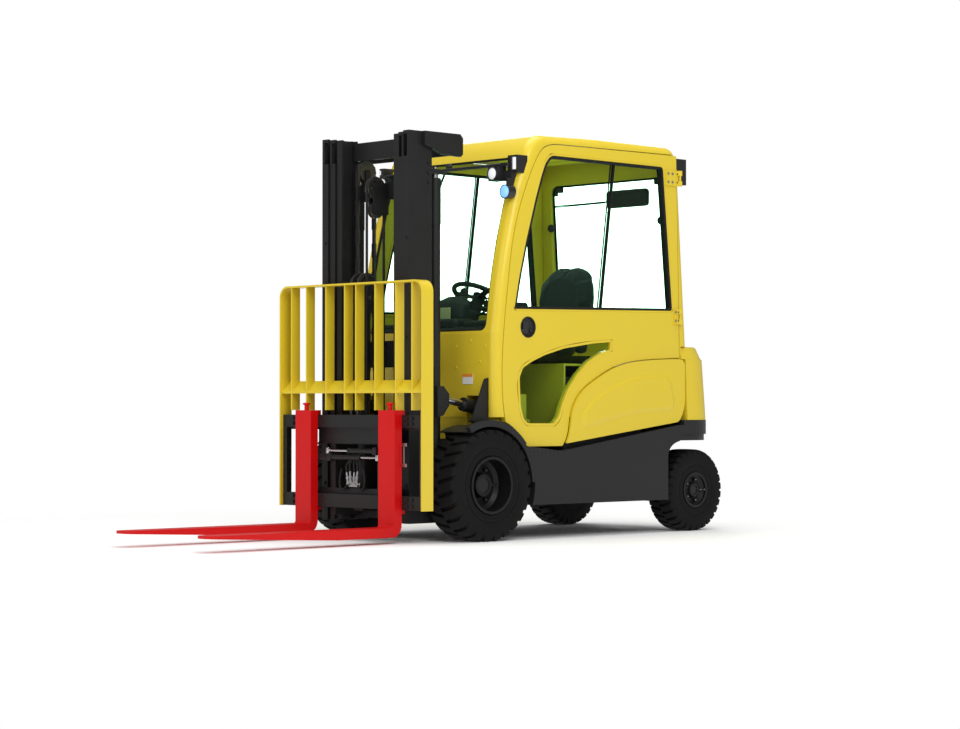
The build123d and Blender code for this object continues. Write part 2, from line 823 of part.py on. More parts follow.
def cab_profile(inset=0.0):
    """The cab's side profile, drawn in by an amount."""
    runs = (
        ((cowl_y, cab_bottom_z), cab_front[0]),
        (*cab_front, (340, 2095), (roof_front_y, roof_top - 10)),
        ((roof_front_y, roof_top - 10), (roof_front_y + 420, roof_top)),
        ((roof_front_y + 420, roof_top), (1400, roof_top - 3)),
        ((1400, roof_top - 3), (1455, 2121), (1488, 2075), cab_rear_high),
        (cab_rear_high, cab_rear_low),
        (cab_rear_low, (1505, cab_step_z)),
        ((1505, cab_step_z), (1505, cab_bottom_z)),
        ((1505, cab_bottom_z), (cowl_y, cab_bottom_z)),
    )
    return run_outline(runs, -inset)


screen_low_z = cowl_top + 14
screen_top_z = 2010
screen_half_width = 470
rear_screen_low_z = 1120
rear_screen_top_z = 1985
rear_screen_half_width = 440
roof_opening = (470, 1380, 420)
tunnel_inner = 330
tunnel_outer = 440
tunnel_top = 752
tunnel_rear = tilt_frame_pin_y + 45
roof_bar_places = (610, 745, 880, 1015, 1150, 1265)

with BuildPart() as cab_frame:
    with BuildSketch(side(-cab_half_width)):
        add(cab_profile())
    extrude(amount=2 * cab_half_width)
    long_edges = cab_frame.edges().filter_by(
        lambda e: abs(abs(e.center().X) - cab_half_width) < 0.1
        and e.center().Z > cab_bottom_z + 60 and e.length > 60
        and not (abs(e.center().Z - cab_step_z) < 1)
    )
    front_and_top = long_edges.filter_by(lambda e: e.center().Y < axle_y + 1490 or e.center().Z > 1100)
    fillet(front_and_top.filter_by(lambda e: not (e.center().Z < 900 and e.center().Y > 0)), cab_corner)
    with BuildSketch(side(-cab_half_width + cab_wall)):
        add(cab_profile(cab_wall))
    extrude(amount=2 * (cab_half_width - cab_wall), mode=Mode.SUBTRACT)
    # The floor is a separate piece, so the shell is open below.
    block(-cab_half_width + cab_wall, cab_half_width - cab_wall, cowl_y + cab_wall, 1463,
          cab_bottom_z - 1, cab_bottom_z + 60, Mode.SUBTRACT)
    with BuildSketch(side(-cab_half_width - 1)):
        add(door_outline(door_gap))
    extrude(amount=2 * cab_half_width + 2, mode=Mode.SUBTRACT)
    with BuildSketch(across(700)):
        with Locations((0, (screen_low_z + screen_top_z) / 2)):
            RectangleRounded(2 * screen_half_width, screen_top_z - screen_low_z, 40)
    extrude(amount=900, mode=Mode.SUBTRACT)
    with BuildSketch(across(1700)):
        with Locations((0, (rear_screen_low_z + rear_screen_top_z) / 2)):
            RectangleRounded(2 * rear_screen_half_width, rear_screen_top_z - rear_screen_low_z, 50)
    extrude(amount=300, mode=Mode.SUBTRACT)
    with BuildSketch(level(2000)):
        with Locations((0, (roof_opening[0] + roof_opening[1]) / 2)):
            RectangleRounded(2 * roof_opening[2], roof_opening[1] - roof_opening[0], 40)
    extrude(amount=200, mode=Mode.SUBTRACT)
    # The tilt cylinders pass through the front wall. Guard bars lie under the roof pane.
    pair_block(tunnel_inner, tunnel_outer, cowl_y - 1, cowl_y + cab_wall + 1, cab_bottom_z - 1,
               tunnel_top, Mode.SUBTRACT)
    for bar_y in roof_bar_places:
        block(-roof_opening[2] - 5, roof_opening[2] + 5, bar_y - 11, bar_y + 11, roof_top - 41,
              roof_top - 27)
finish(cab_frame, "cab_frame")

# Glass of the cab: windscreen, roof pane and rear window, set in the shell's openings.
glass_inset = 14
with BuildPart() as cab_panes:
    with BuildSketch(across(700)):
        with Locations((0, (screen_low_z + screen_top_z) / 2)):
            RectangleRounded(2 * screen_half_width - 2 * seat_gap,
                             screen_top_z - screen_low_z - 2 * seat_gap, 40)
    extrude(amount=900)
    with BuildSketch(across(1700)):
        with Locations((0, (rear_screen_low_z + rear_screen_top_z) / 2)):
            RectangleRounded(2 * rear_screen_half_width - 2 * seat_gap,
                             rear_screen_top_z - rear_screen_low_z - 2 * seat_gap, 50)
    extrude(amount=300)
    with BuildSketch(level(2060)):
        with Locations((0, (roof_opening[0] + roof_opening[1]) / 2)):
            RectangleRounded(2 * roof_opening[2] - 2 * seat_gap,
                             roof_opening[1] - roof_opening[0] - 2 * seat_gap, 40)
    extrude(amount=200)
with BuildPart() as cab_glass:
    with BuildSketch(side(-screen_half_width)):
        add(cab_profile(glass_inset))
        add(cab_profile(glass_inset + glass_thickness), mode=Mode.SUBTRACT)
    extrude(amount=2 * screen_half_width)
    add(cab_panes.part, mode=Mode.INTERSECT)
finish(cab_glass, "cab_glass")

# Cab deck: floor, footwell front, shelves over the wheels, covers over the tilt cylinders and the
# hood over the battery.
deck_half = cab_half_width - cab_wall - seat_gap
deck_thickness = 14
deck_front = cowl_y + 2
shelf_z = 626
foot_rear = 345
riser_y = 612
deck_rear = 1462
deck_low = floor_z - deck_thickness
with BuildPart() as cab_deck:
    block(-tunnel_inner, tunnel_inner, deck_front, riser_y, deck_low, floor_z)
    block(-deck_half, deck_half, foot_rear, riser_y, deck_low, floor_z)
    block(-deck_half, deck_half, riser_y, riser_y + 12, deck_low, deck_z)
    block(-deck_half, deck_half, riser_y, deck_rear, deck_z - 12, deck_z)
    block(-tunnel_inner, tunnel_inner, deck_front, deck_front + 8, deck_low, cab_bottom_z - seat_gap)
    pair_block(tunnel_inner - 8, tunnel_outer + 8, deck_front, tunnel_rear + 8, shelf_z - 8, tunnel_top + 8)
    pair_block(tunnel_outer, deck_half, deck_front, foot_rear + 8, shelf_z - 8, shelf_z)
    pair_block(tunnel_inner - 8, deck_half, foot_rear, foot_rear + 8, deck_low, shelf_z)
    pair_block(tunnel_inner - 8, tunnel_inner, deck_front, tunnel_rear, deck_low, shelf_z)
    pair_block(tunnel_inner - 8, tunnel_outer + 8, tunnel_rear, tunnel_rear + 8, deck_low, shelf_z)
    pair_block(tunnel_outer, tunnel_outer + 8, foot_rear, tunnel_rear + 8, deck_low, shelf_z)
    # Room for the cylinders, and for the shell's front wall round them.
    pair_block(tunnel_inner, tunnel_outer, deck_front - 1, tunnel_rear, deck_low - 1, tunnel_top,
               Mode.SUBTRACT)
    block(-deck_half - 1, deck_half + 1, cowl_y, cowl_y + cab_wall + seat_gap, cab_bottom_z - seat_gap,
          tunnel_top + 20, Mode.SUBTRACT)
finish(cab_deck, "cab_deck")

# Battery side panels, between the door's lower curve and the skirt.
panel_thickness = 14
panel_low_front = (580, 500)
panel_low_rear = (1452, 607)
panel_rear = ((1502, 650), (1524, 714), (1526, 800), (1526, 928))
with BuildPart() as battery_panels:
    for hand in (1, -1):
        inner_x = cab_half_width + seat_gap if hand > 0 else -body_half_width
        with BuildSketch(side(inner_x)):
            with BuildLine():
                Line((560, 972), panel_low_front)
                Line(panel_low_front, panel_low_rear)
                Spline(panel_low_rear, *panel_rear, tangents=((1, 0.15), (0, 1)))
                Line(panel_rear[-1], (1506, 956))
                Line((1506, 956), (560, 972))
            make_face()
            add(door_outline(door_gap), mode=Mode.SUBTRACT)
        extrude(amount=panel_thickness + 1 - seat_gap)
finish(battery_panels, "battery_panels")


def sector(r0, r1, a0, a1):
    """A ring sector about the front axle, with angles from the rear and up."""
    def at(radius, angle):
        return (radius * cos(radians(angle)), front_axle_z + radius * sin(radians(angle)))
    middle = (a0 + a1) / 2
    with BuildSketch() as outline:
        with BuildLine():
            ThreePointArc(at(r1, a0), at(r1, middle), at(r1, a1))
            Line(at(r1, a1), at(r0, a1))
            ThreePointArc(at(r0, a1), at(r0, middle), at(r0, a0))
            Line(at(r0, a0), at(r1, a0))
        make_face()
    return outline.sketch


# Fenders over the front wheels.
fender_inner_x = 340
fender_lip_radius = 336
with BuildPart() as fenders:
    for hand in (1, -1):
        with BuildSketch(side(fender_inner_x if hand > 0 else -frame_half_width)):
            add(sector(fender_inner_radius, fender_inner_radius + 7, 2, 117))
        extrude(amount=frame_half_width - fender_inner_x)
        with BuildSketch(side(hand * frame_half_width - (30 if hand > 0 else 0))):
            add(sector(fender_inner_radius, fender_radius, 2, 40))
            add(sector(fender_inner_radius, fender_lip_radius, 39.5, 117))
        extrude(amount=30)
        # Inner web down to the axle plate.
        with BuildSketch(side(fender_inner_x if hand > 0 else -fender_inner_x - 8)):
            add(sector(180, fender_inner_radius + 3, 40, 112))
        extrude(amount=8)
finish(fenders, "fenders")

# Seat: a low base, a cushion, a back and an armrest with its lever block.
seat_front_y = 700
with BuildPart() as seat_base:
    block(-170, 170, 780, 1120, deck_z + seat_gap, 950)
    block(-200, 200, 740, 1150, 946, 976)
    fillet(seat_base.edges().filter_by(Axis.Z), 18)
    block(-330, -200, 900, 1000, 950, 972)
    block(-330, -306, 920, 980, 950, 1230)
finish(seat_base, "seat_base")
with BuildPart() as seat_cushion:
    block(-245, 245, seat_front_y, 1056, 976.3, 1068)
    fillet(seat_cushion.edges().filter_by(Axis.Z), 50)
    fillet(seat_cushion.faces().sort_by(Axis.Z)[-1].edges(), 28)
    block(-352, -270, 860, 1130, 1230, 1290)
    block(-350, -272, 830, 930, 1240, 1312)
finish(seat_cushion, "seat_cushion")
with BuildPart() as seat_back:
    with BuildSketch(side(-225)):
        with BuildLine():
            Polyline((1058, 1072), (1062, 976.3), (1160, 976.3), (1210, 1120), (1232, 1440), (1206, 1500),
                     (1160, 1505), (1118, 1450), close=True)
        make_face()
    extrude(amount=450)
    upright = seat_back.edges().filter_by(lambda e: e.center().Z > 1440 and abs(abs(e.center().X) - 225) < 1)
    fillet(upright, 26)
finish(seat_back, "seat_back")

# Dashboard with its column, pedals and display.
wheel_centre = (0, 470, 1290)
wheel_radius = 160
column_tilt = 28
column_dir = (0, sin(radians(column_tilt)), cos(radians(column_tilt)))


def on_column(distance):
    """A plane square to the steering column, at a distance from the wheel's centre."""
    y = axle_y + wheel_centre[1] + distance * column_dir[1]
    return Plane(origin=(0, y, wheel_centre[2] + distance * column_dir[2]), x_dir=(1, 0, 0),
                 z_dir=column_dir)


with BuildPart() as dashboard:
    with BuildSketch(side(-deck_half + 8)):
        with BuildLine():
            Polyline((cowl_y + cab_wall + seat_gap, 830), (cowl_y + cab_wall + seat_gap, 1062),
                     (135, 1112), (270, 1132), (338, 1096), (342, 1050), (300, 960), (190, 830),
                     close=True)
        make_face()
    extrude(amount=2 * deck_half - 16)
    with BuildSketch(on_column(-330)):
        Circle(38)
    extrude(amount=330 - 44 - seat_gap)
    with BuildSketch(on_column(-330)):
        RectangleRounded(120, 100, 20)
    extrude(amount=150)
    block(-300, -170, 262, 300, 1100, 1220)
    for pedal_x in (-170, 30, 150):
        block(pedal_x - 8, pedal_x + 8, 180, 196, 640, 840)
        block(pedal_x - 35, pedal_x + 35, 190, 200, 600, 700)
finish(dashboard, "dashboard")
column_side = (0, -cos(radians(column_tilt)), sin(radians(column_tilt)))
with BuildPart() as steering_wheel:
    with BuildSketch(Plane(origin=on_column(0).origin, x_dir=(1, 0, 0), z_dir=column_side)) as wheel_section:
        with Locations((wheel_radius - 14, 0)):
            Circle(14)
    revolve(wheel_section.sketch, axis=Axis(on_column(0).origin, column_dir))
    with BuildSketch(on_column(-44)):
        Circle(34)
    extrude(amount=50)
    for spoke in (90, 210, 330):
        with BuildSketch(on_column(-14)):
            with Locations(Location((0, 0), spoke)):
                with Locations((0.5 * (wheel_radius - 14), 0)):
                    Rectangle(wheel_radius - 14, 30)
        extrude(amount=12)
finish(steering_wheel, "steering_wheel")

# Front lamps on the windscreen pillars: work lamps, corner lamps and one blue spot lamp.
shell_ahead = Pos(0, -seat_gap, 0) * cab_frame.part
shell_behind = Pos(0, seat_gap, 0) * cab_frame.part
with BuildPart() as front_lamps:
    for hand in (1, -1):
        block(hand * 397, hand * 467, 150, 214, 1876, 1952)
        block(hand * 430, hand * 500, 200, 240, 1886, 1930)
        block(hand * 486, hand * 512, 208, 300, 1874, 2010)
        block(hand * 500, hand * 540, 222, 300, 1918, 2012)
    block(505, 512, 176, 256, 1796, 1890)
    rod_y(524, 150, 196, 1815, 37)
    block(508, 526, 180, 236, 1806, 1824)
    rod_x(-467, 467, 196, 1962, 9)
    pair_block(455, 500, 188, 290, 1952, 1972)
    add(shell_ahead, mode=Mode.SUBTRACT)
    add(cab_frame.part, mode=Mode.SUBTRACT)
    with BuildSketch(side(-screen_half_width - 1)):
        add(cab_profile())
    extrude(amount=2 * screen_half_width + 2, mode=Mode.SUBTRACT)
with BuildPart() as front_lamps_kept:
    for lump in front_lamps.solids():
        if lump.center().Y < axle_y + 262:
            add(lump)
front_lamps = front_lamps_kept
finish(front_lamps, "front_lamps")
with BuildPart() as rear_lamps:
    for hand in (1, -1):
        block(hand * 470, hand * 530, 1480, 1572, 1936, 2080)
    add(shell_behind, mode=Mode.SUBTRACT)
    add(cab_frame.part, mode=Mode.SUBTRACT)
with BuildPart() as rear_lamps_kept:
    for lump in rear_lamps.solids():
        if lump.center().Y > axle_y + 1500:
            add(lump)
rear_lamps = rear_lamps_kept
finish(rear_lamps, "rear_lamps")


def channel(web_x, tip_x, front_y, rear_y, z0, z1, wall):
    """A channel on each side, open toward the middle of the truck."""
    pair_block(web_x - wall, web_x, front_y, rear_y, z0, z1)
    pair_block(tip_x, web_x, front_y, front_y + wall, z0, z1)
    pair_block(tip_x, web_x, rear_y - wall, rear_y, z0, z1)


def pivot_plate(x0, x1):
    """A plate from the bottom cross member back to a ring round the axle tube."""
    with BuildSketch(side(x0)) as outline:
        with BuildLine():
            Line((mast_rear + 14, 120), (20, front_axle_z - pivot_ring_radius))
            ThreePointArc(
                (20, front_axle_z - pivot_ring_radius), (pivot_ring_radius, front_axle_z),
                (20, front_axle_z + pivot_ring_radius),
            )
            Line((20, front_axle_z + pivot_ring_radius), (mast_rear + 14, 470))
            Line((mast_rear + 14, 470), (mast_rear + 14, 120))
        make_face()
    extrude(outline.sketch, amount=x1 - x0)


# Outer mast: two channels, cross members, side arms, pivot rings and tilt brackets.
mast_rear = mast_front + mast_depth
outer_tip = mast_half_width - outer_flange_width
pivot_ring_radius = 100
pivot_inner_x = 228
pivot_outer_x = 258
cross_rear = mast_rear + 28
anchor_low = 1000
with BuildPart() as mast_outer:
    channel(mast_half_width, outer_tip, mast_front, mast_rear, mast_bottom, mast_top, channel_wall)
    for low, high in ((110, 230), (900, 1040)):
        block(-mast_half_width, mast_half_width, mast_rear, cross_rear, low, high)
    pair_block(chain_x - 14, chain_x + 14, cross_rear - 1, -143, anchor_low, 1040)
    pair_block(lift_cylinder_x - 36, lift_cylinder_x + 36, mast_rear - 10, -104, mast_bottom,
               mast_bottom + 15)
    # Side arms run back from the tops of the uprights and carry the top tie.
    for hand in (1, -1):
        with BuildSketch(side(hand * mast_half_width - (0 if hand > 0 else 24))):
            with BuildLine():
                Polyline((-270, mast_top), (-20, mast_top), (0, mast_top - 20), (0, 2010), (-14, 1996),
                         (-140, 2000), (-230, 2030), (-270, 2040), close=True)
            make_face()
        extrude(amount=24)
    block(-mast_half_width - 2, mast_half_width + 2, -75, -55, 2000, 2090)
    pair_block(outer_tip - 1, outer_tip + 30, mast_front - 1, mast_front + channel_wall, 1981, 2095,
               Mode.SUBTRACT)
    for x0, x1 in ((pivot_inner_x, pivot_outer_x), (-pivot_outer_x, -pivot_inner_x)):
        pivot_plate(x0, x1)
    for hand in (1, -1):
        pair = (mast_half_width - 1, 410) if hand > 0 else (-410, -mast_half_width + 1)
        with BuildSketch(side(pair[0])):
            with BuildLine():
                Polyline((-222, 800), (-180, 800), (-140, 760), (-140, 700), (-180, 650), (-222, 640),
                         close=True)
            make_face()
        extrude(amount=pair[1] - pair[0])
        block(hand * (tilt_x - 22), hand * (tilt_x + 22), -212, -100, tilt_rod_pin_z - 34,
              tilt_rod_pin_z + 34, Mode.SUBTRACT)
        rod_x(hand * (mast_half_width + 2), hand * 410, tilt_rod_pin_y, tilt_rod_pin_z, 14)
    rod_x(-260, 260, 0, front_axle_z, axle_tube_radius + seat_gap, Mode.SUBTRACT)
finish(mast_outer, "mast_outer")

# Lift cylinders behind the uprights, with their glands and oil ports.
lift_foot_z = mast_bottom + 15 + seat_gap
with BuildPart() as lift_cylinders:
    for hand in (1, -1):
        x = hand * lift_cylinder_x
        rod_z(x, lift_cylinder_y, lift_foot_z, 1640, lift_cylinder_radius - 3)
        rod_z(x, lift_cylinder_y, 1640, lift_cylinder_top, lift_cylinder_radius)
        block(x - 12, x + 12, cross_rear + seat_gap, lift_cylinder_y, 930, 1010)
        rod_y(x, lift_cylinder_y, lift_cylinder_y + 46, 150, 12)
        rod_z(x, lift_cylinder_y, 130, lift_cylinder_top + 1, 22, Mode.SUBTRACT)
        rod_z(x, lift_cylinder_y, 1820, lift_cylinder_top, 26)
        rod_z(x, lift_cylinder_y, 1800, lift_cylinder_top + 1, lift_rod_radius + seat_gap, Mode.SUBTRACT)
finish(lift_cylinders, "lift_cylinders")

# Tilt cylinders: the barrels turn on the frame's pins, the rods slide in them.
tilt_dy = tilt_rod_pin_y - tilt_frame_pin_y
tilt_dz = tilt_rod_pin_z - tilt_frame_pin_z
tilt_length = hypot(tilt_dy, tilt_dz)
tilt_axis = (0, tilt_dy / tilt_length, tilt_dz / tilt_length)
tilt_gland = 360


def on_tilt(hand, distance):
    """A plane square to a tilt cylinder, at a distance from the frame's pin."""
    return Plane(
        origin=(hand * tilt_x, axle_y + tilt_frame_pin_y + distance * tilt_axis[1],
                tilt_frame_pin_z + distance * tilt_axis[2]),
        x_dir=(1, 0, 0), z_dir=tilt_axis,
    )


def tilt_bar(hand, start, end, radius, mode=Mode.ADD):
    with BuildSketch(on_tilt(hand, start)) as section:
        Circle(radius)
    extrude(section.sketch, amount=end - start, mode=mode)


with BuildPart() as tilt_barrels:
    for hand in (1, -1):
        rod_x(hand * (tilt_x - 36), hand * (tilt_x + 36), tilt_frame_pin_y, tilt_frame_pin_z, 30)
        tilt_bar(hand, 20, tilt_gland, tilt_barrel_radius)
        tilt_bar(hand, 60, tilt_gland + 1, tilt_barrel_radius - 9, Mode.SUBTRACT)
        tilt_bar(hand, tilt_gland - 30, tilt_gland, tilt_barrel_radius - 1)
        tilt_bar(hand, tilt_gland - 32, tilt_gland + 1, tilt_rod_radius + seat_gap, Mode.SUBTRACT)
        rod_x(hand * (tilt_x - 40), hand * (tilt_x + 40), tilt_frame_pin_y, tilt_frame_pin_z,
              16 + pin_gap, Mode.SUBTRACT)
finish(tilt_barrels, "tilt_barrels")
with BuildPart() as tilt_rods:
    for hand in (1, -1):
        tilt_bar(hand, 130, tilt_length - 10, tilt_rod_radius)
        tilt_bar(hand, 130, 150, tilt_barrel_radius - 9 - seat_gap)
        rod_x(hand * (tilt_x - 16), hand * (tilt_x + 16), tilt_rod_pin_y, tilt_rod_pin_z, 28)
        rod_x(hand * (tilt_x - 21), hand * (tilt_x + 21), tilt_rod_pin_y, tilt_rod_pin_z,
              14 + open_pin_gap, Mode.SUBTRACT)
finish(tilt_rods, "tilt_rods")

# Middle mast stage: channels that run inside the outer ones on rollers.
stage_space_outer = mast_depth - 2 * channel_wall
middle_web = outer_tip - stage_step_x
middle_tip = middle_web - inner_flange_width
middle_front = mast_front + stage_step_front
middle_rear = mast_rear - stage_step_rear * 2
middle_top = mast_top - stage_top_step
middle_cross_rear = mast_rear - 6
with BuildPart() as mast_middle:
    channel(middle_web, middle_tip, middle_front, middle_rear, mast_bottom, middle_top, channel_wall)
    for low, high in ((130, 230), (1780, 1870)):
        block(-middle_tip - 12, middle_tip + 12, middle_rear - 4, middle_cross_rear, low, high)
    roller = (stage_space_outer - 2 * roller_gap) / 2
    roller_y = (mast_front + mast_rear) / 2
    for hand in (1, -1):
        for z in (180, 480):
            rod_x(hand * (middle_web - 1), hand * (mast_half_width - channel_wall - 6), roller_y, z, roller)
        # Ears for the chain sheaves.
        for ear in (chain_x - 20, chain_x + 15):
            block(hand * ear, hand * (ear + 5), middle_cross_rear - 14, -190, 1864, 1950)
        rod_x(hand * (chain_x - 20), hand * (chain_x + 20), mast_rear - 5, chain_sheave_z, 11)
        # Ears over the lift rods.
        block(hand * middle_tip, hand * middle_web, middle_rear - 1, -190, 1900, 1925)
        block(hand * 255, hand * 330, -190, -105, 1900, 1925)
        rod_z(hand * lift_cylinder_x, lift_cylinder_y, 1899, 1926, 12, Mode.SUBTRACT)
    pair_block(middle_tip - 1, middle_tip + 26, middle_front - 1, middle_front + channel_wall, 1981, 2090,
               Mode.SUBTRACT)
    # Bracket of the hose pulleys.
    for x0 in (-14, 24):
        block(x0, x0 + 6, -324, middle_rear, 1700, 1866)
    rod_x(-14, 30, hose_pulley_y, hose_pulley_z, 10)
    rod_x(-14, 30, hose_pulley_y, guide_pulley_z, 8)
finish(mast_middle, "mast_middle")

with BuildPart() as lift_rods:
    for hand in (1, -1):
        rod_z(hand * lift_cylinder_x, lift_cylinder_y, 140, 1900 - seat_gap, lift_rod_radius)
        rod_z(hand * lift_cylinder_x, lift_cylinder_y, 1890, 1938, 12 - pin_gap)
        rod_z(hand * lift_cylinder_x, lift_cylinder_y, 140, 170, 22 - seat_gap)
finish(lift_rods, "lift_rods")


def pulley(x0, x1, y, z, radius, bore, groove, spokes=0):
    """A grooved wheel on a pin that lies across the truck."""
    middle = (x0 + x1) / 2
    half = (x1 - x0) / 2
    centre = (middle, axle_y + y, z)
    with BuildSketch(Plane(origin=centre, x_dir=(1, 0, 0), z_dir=(0, -1, 0))) as section:
        Polygon(
            (-half, bore), (half, bore), (half, radius), (0.6 * half, radius),
            (0.45 * half, radius - groove), (-0.45 * half, radius - groove), (-0.6 * half, radius),
            (-half, radius), align=None,
        )
    revolve(section.sketch, axis=Axis(centre, (1, 0, 0)))
    if spokes:
        with BuildSketch(side(x0 - 1)) as windows:
            with Locations((y, z)):
                with PolarLocations(0.57 * radius, spokes):
                    Circle(0.15 * radius)
        extrude(windows.sketch, amount=x1 - x0 + 2, mode=Mode.SUBTRACT)


with BuildPart() as pulleys:
    for hand in (1, -1):
        edges = sorted((hand * (chain_x - 11), hand * (chain_x + 11)))
        pulley(edges[0], edges[1], mast_rear - 5, chain_sheave_z, chain_sheave_radius, 11 + pin_gap, 4)
    pulley(-7, 23, hose_pulley_y, hose_pulley_z, hose_pulley_radius, 10 + pin_gap, 9, 6)
    pulley(-7, 23, hose_pulley_y, guide_pulley_z, guide_pulley_radius, 8 + pin_gap, 9, 5)
finish(pulleys, "pulleys")

# Inner mast stage.
inner_web = middle_tip - stage_step_x
inner_tip = inner_web - inner_flange_width + 1
inner_front = middle_front + stage_step_front
inner_rear = middle_rear - stage_step_front
inner_wall = 14
inner_top = middle_top - stage_top_step
inner_cross_front = inner_rear - 23
middle_space = middle_rear - middle_front - 2 * channel_wall
with BuildPart() as mast_inner:
    channel(inner_web, inner_tip, inner_front, inner_rear, mast_bottom + 5, inner_top, inner_wall)
    for low, high in ((110, 180), (1995, 2090)):
        block(-inner_tip - 6, inner_tip + 6, inner_cross_front, inner_rear, low, high)
    for hand in (1, -1):
        for z in (180, 480):
            rod_x(hand * (inner_web - 1), hand * (middle_web - channel_wall - 6),
                  (middle_front + middle_rear) / 2, z, middle_space / 2 - roller_gap)
        block(hand * (chain_x - 13), hand * (chain_x + 13), chain_front_y - 14, inner_cross_front + 1,
              130, 176)
    # Foot and clamp of the free-lift cylinder.
    block(free_cylinder_x - 36, free_cylinder_x + 36, free_cylinder_y - 36, inner_cross_front + 1, 150, 180)
finish(mast_inner, "mast_inner")

with BuildPart() as free_lift_cylinder:
    rod_z(free_cylinder_x, free_cylinder_y, 180 + seat_gap, free_cylinder_top, free_cylinder_radius)
    rod_z(free_cylinder_x, free_cylinder_y, free_cylinder_top - 70, free_cylinder_top,
          free_cylinder_radius + 4)
    block(free_cylinder_x - 20, free_cylinder_x + 20, free_cylinder_y, -259, 690, 730)
    rod_z(free_cylinder_x, free_cylinder_y, 220, free_cylinder_top + 1, 24, Mode.SUBTRACT)
    rod_z(free_cylinder_x, free_cylinder_y, free_cylinder_top - 60, free_cylinder_top, 30)
    rod_z(free_cylinder_x, free_cylinder_y, free_cylinder_top - 62, free_cylinder_top + 1, 22 + seat_gap,
          Mode.SUBTRACT)
finish(free_lift_cylinder, "free_lift_cylinder")

crosshead_chain_x = 26
with BuildPart() as crosshead:
    rod_z(free_cylinder_x, free_cylinder_y, 240, crosshead_axle_z - 40, 22)
    block(free_cylinder_x - 38, free_cylinder_x + 38, free_cylinder_y - 18, free_cylinder_y + 18,
          crosshead_axle_z - 50, crosshead_axle_z - 30)
    for hand in (1, -1):
        block(free_cylinder_x - 6, free_cylinder_x + 6, free_cylinder_y - 18, free_cylinder_y + 18,
              crosshead_axle_z - 40, crosshead_axle_z + 18)
    rod_x(free_cylinder_x - 40, free_cylinder_x + 40, free_cylinder_y, crosshead_axle_z, 12)
    for hand in (1, -1):
        edges = sorted((free_cylinder_x + hand * 12, free_cylinder_x + hand * 38))
        pulley(edges[0], edges[1], free_cylinder_y, crosshead_axle_z, chain_sheave_radius, 11, 4)
    block(free_cylinder_x - 38, free_cylinder_x + 38, free_cylinder_y - 18, free_cylinder_y + 18,
          crosshead_axle_z - 56, crosshead_axle_z - 44)
finish(crosshead, "crosshead")


def chain_run(x, y, z0, z1):
    """A straight run of leaf chain with waists between its pins."""
    count = max(2, round((z1 - z0) / link_pitch))
    pitch = (z1 - z0) / count
    edge = []
    for index in range(count):
        half = chain_width / 2 if index % 2 == 0 else 0.31 * chain_width
        edge += [(half, z0 + index * pitch), (half, z0 + (index + 1) * pitch)]
    back = [(-half, z) for half, z in reversed(edge)]
    with BuildSketch(across(y + chain_thickness / 2)) as outline:
        with Locations((x, 0)):
            Polygon(*edge, *back, align=None)
    extrude(outline.sketch, amount=chain_thickness)


def chain_wrap(x, y, z, radius):
    """The chain's half turn over a sheave, in flat links."""
    reach = radius / cos(pi / wrap_links)
    with BuildSketch(side(x - 0.4 * chain_width)) as outline:
        with Locations((y, z)):
            RegularPolygon(reach + chain_thickness, wrap_links)
            RegularPolygon(reach, wrap_links, mode=Mode.SUBTRACT)
        with Locations((y, z - radius)):
            Rectangle(3 * radius, 2 * radius, mode=Mode.SUBTRACT)
    extrude(outline.sketch, amount=0.8 * chain_width)


main_wrap_radius = chain_sheave_radius + 0.6
front_chain_y = mast_rear - 5 - main_wrap_radius - chain_thickness / 2
rear_chain_y = mast_rear - 5 + main_wrap_radius + chain_thickness / 2
with BuildPart() as main_chains:
    for hand in (1, -1):
        x = hand * chain_x
        chain_run(x, front_chain_y, 176 + seat_gap, chain_sheave_z)
        chain_run(x, rear_chain_y, 1040 + seat_gap, chain_sheave_z)
        chain_wrap(x, mast_rear - 5, chain_sheave_z, main_wrap_radius)
finish(main_chains, "main_chains")

# Carriage: roller plates that run inside the inner stage and two bars across the front.
carriage_front = -418
carriage_bar_rear = -393
carriage_half = 300
roller_plate_rear = -276
carriage_top = 574.7
carriage_roller_heights = (230, 515)
inner_space = inner_rear - inner_front - 2 * inner_wall
with BuildPart() as carriage:
    pair_block(165, 195, carriage_front, roller_plate_rear, 130, carriage_top)
    for z in carriage_roller_heights:
        for hand in (1, -1):
            rod_x(hand * 194, hand * (inner_web - inner_wall - 5), (inner_front + inner_rear) / 2, z,
                  inner_space / 2 - roller_gap)
    block(-carriage_half, carriage_half, carriage_front, carriage_bar_rear, 500, carriage_top)
    block(-carriage_half, carriage_half, carriage_front, carriage_bar_rear, 200, 270)
    block(free_cylinder_x - 40, free_cylinder_x + 40, -400, -361, 536, 570)
finish(carriage, "carriage")

with BuildPart() as carriage_chain:
    for hand in (1, -1):
        x = free_cylinder_x + hand * crosshead_chain_x
        chain_run(x, free_cylinder_y - main_wrap_radius - chain_thickness / 2, 570.3, crosshead_axle_z)
        chain_run(x, free_cylinder_y + main_wrap_radius + chain_thickness / 2, 730.3, crosshead_axle_z)
        chain_wrap(x, free_cylinder_y, crosshead_axle_z, main_wrap_radius)
finish(carriage_chain, "carriage_chain")

# Hoses over the two pulleys.
hose_radius = 7
with BuildPart() as hoses:
    for y in (hose_pulley_y - hose_pulley_radius - hose_radius + 8,
              hose_pulley_y + hose_pulley_radius + hose_radius - 8):
        rod_z(hose_pulley_x, y, 640, hose_pulley_z, hose_radius)
    with BuildSketch(level(hose_pulley_z)) as hose_section:
        with Locations((hose_pulley_x, hose_pulley_y - hose_pulley_radius + 1)):
            Circle(hose_radius)
    revolve(hose_section.sketch,
            axis=Axis((0, axle_y + hose_pulley_y, hose_pulley_z), (-1, 0, 0)), revolution_arc=180)
finish(hoses, "hoses")

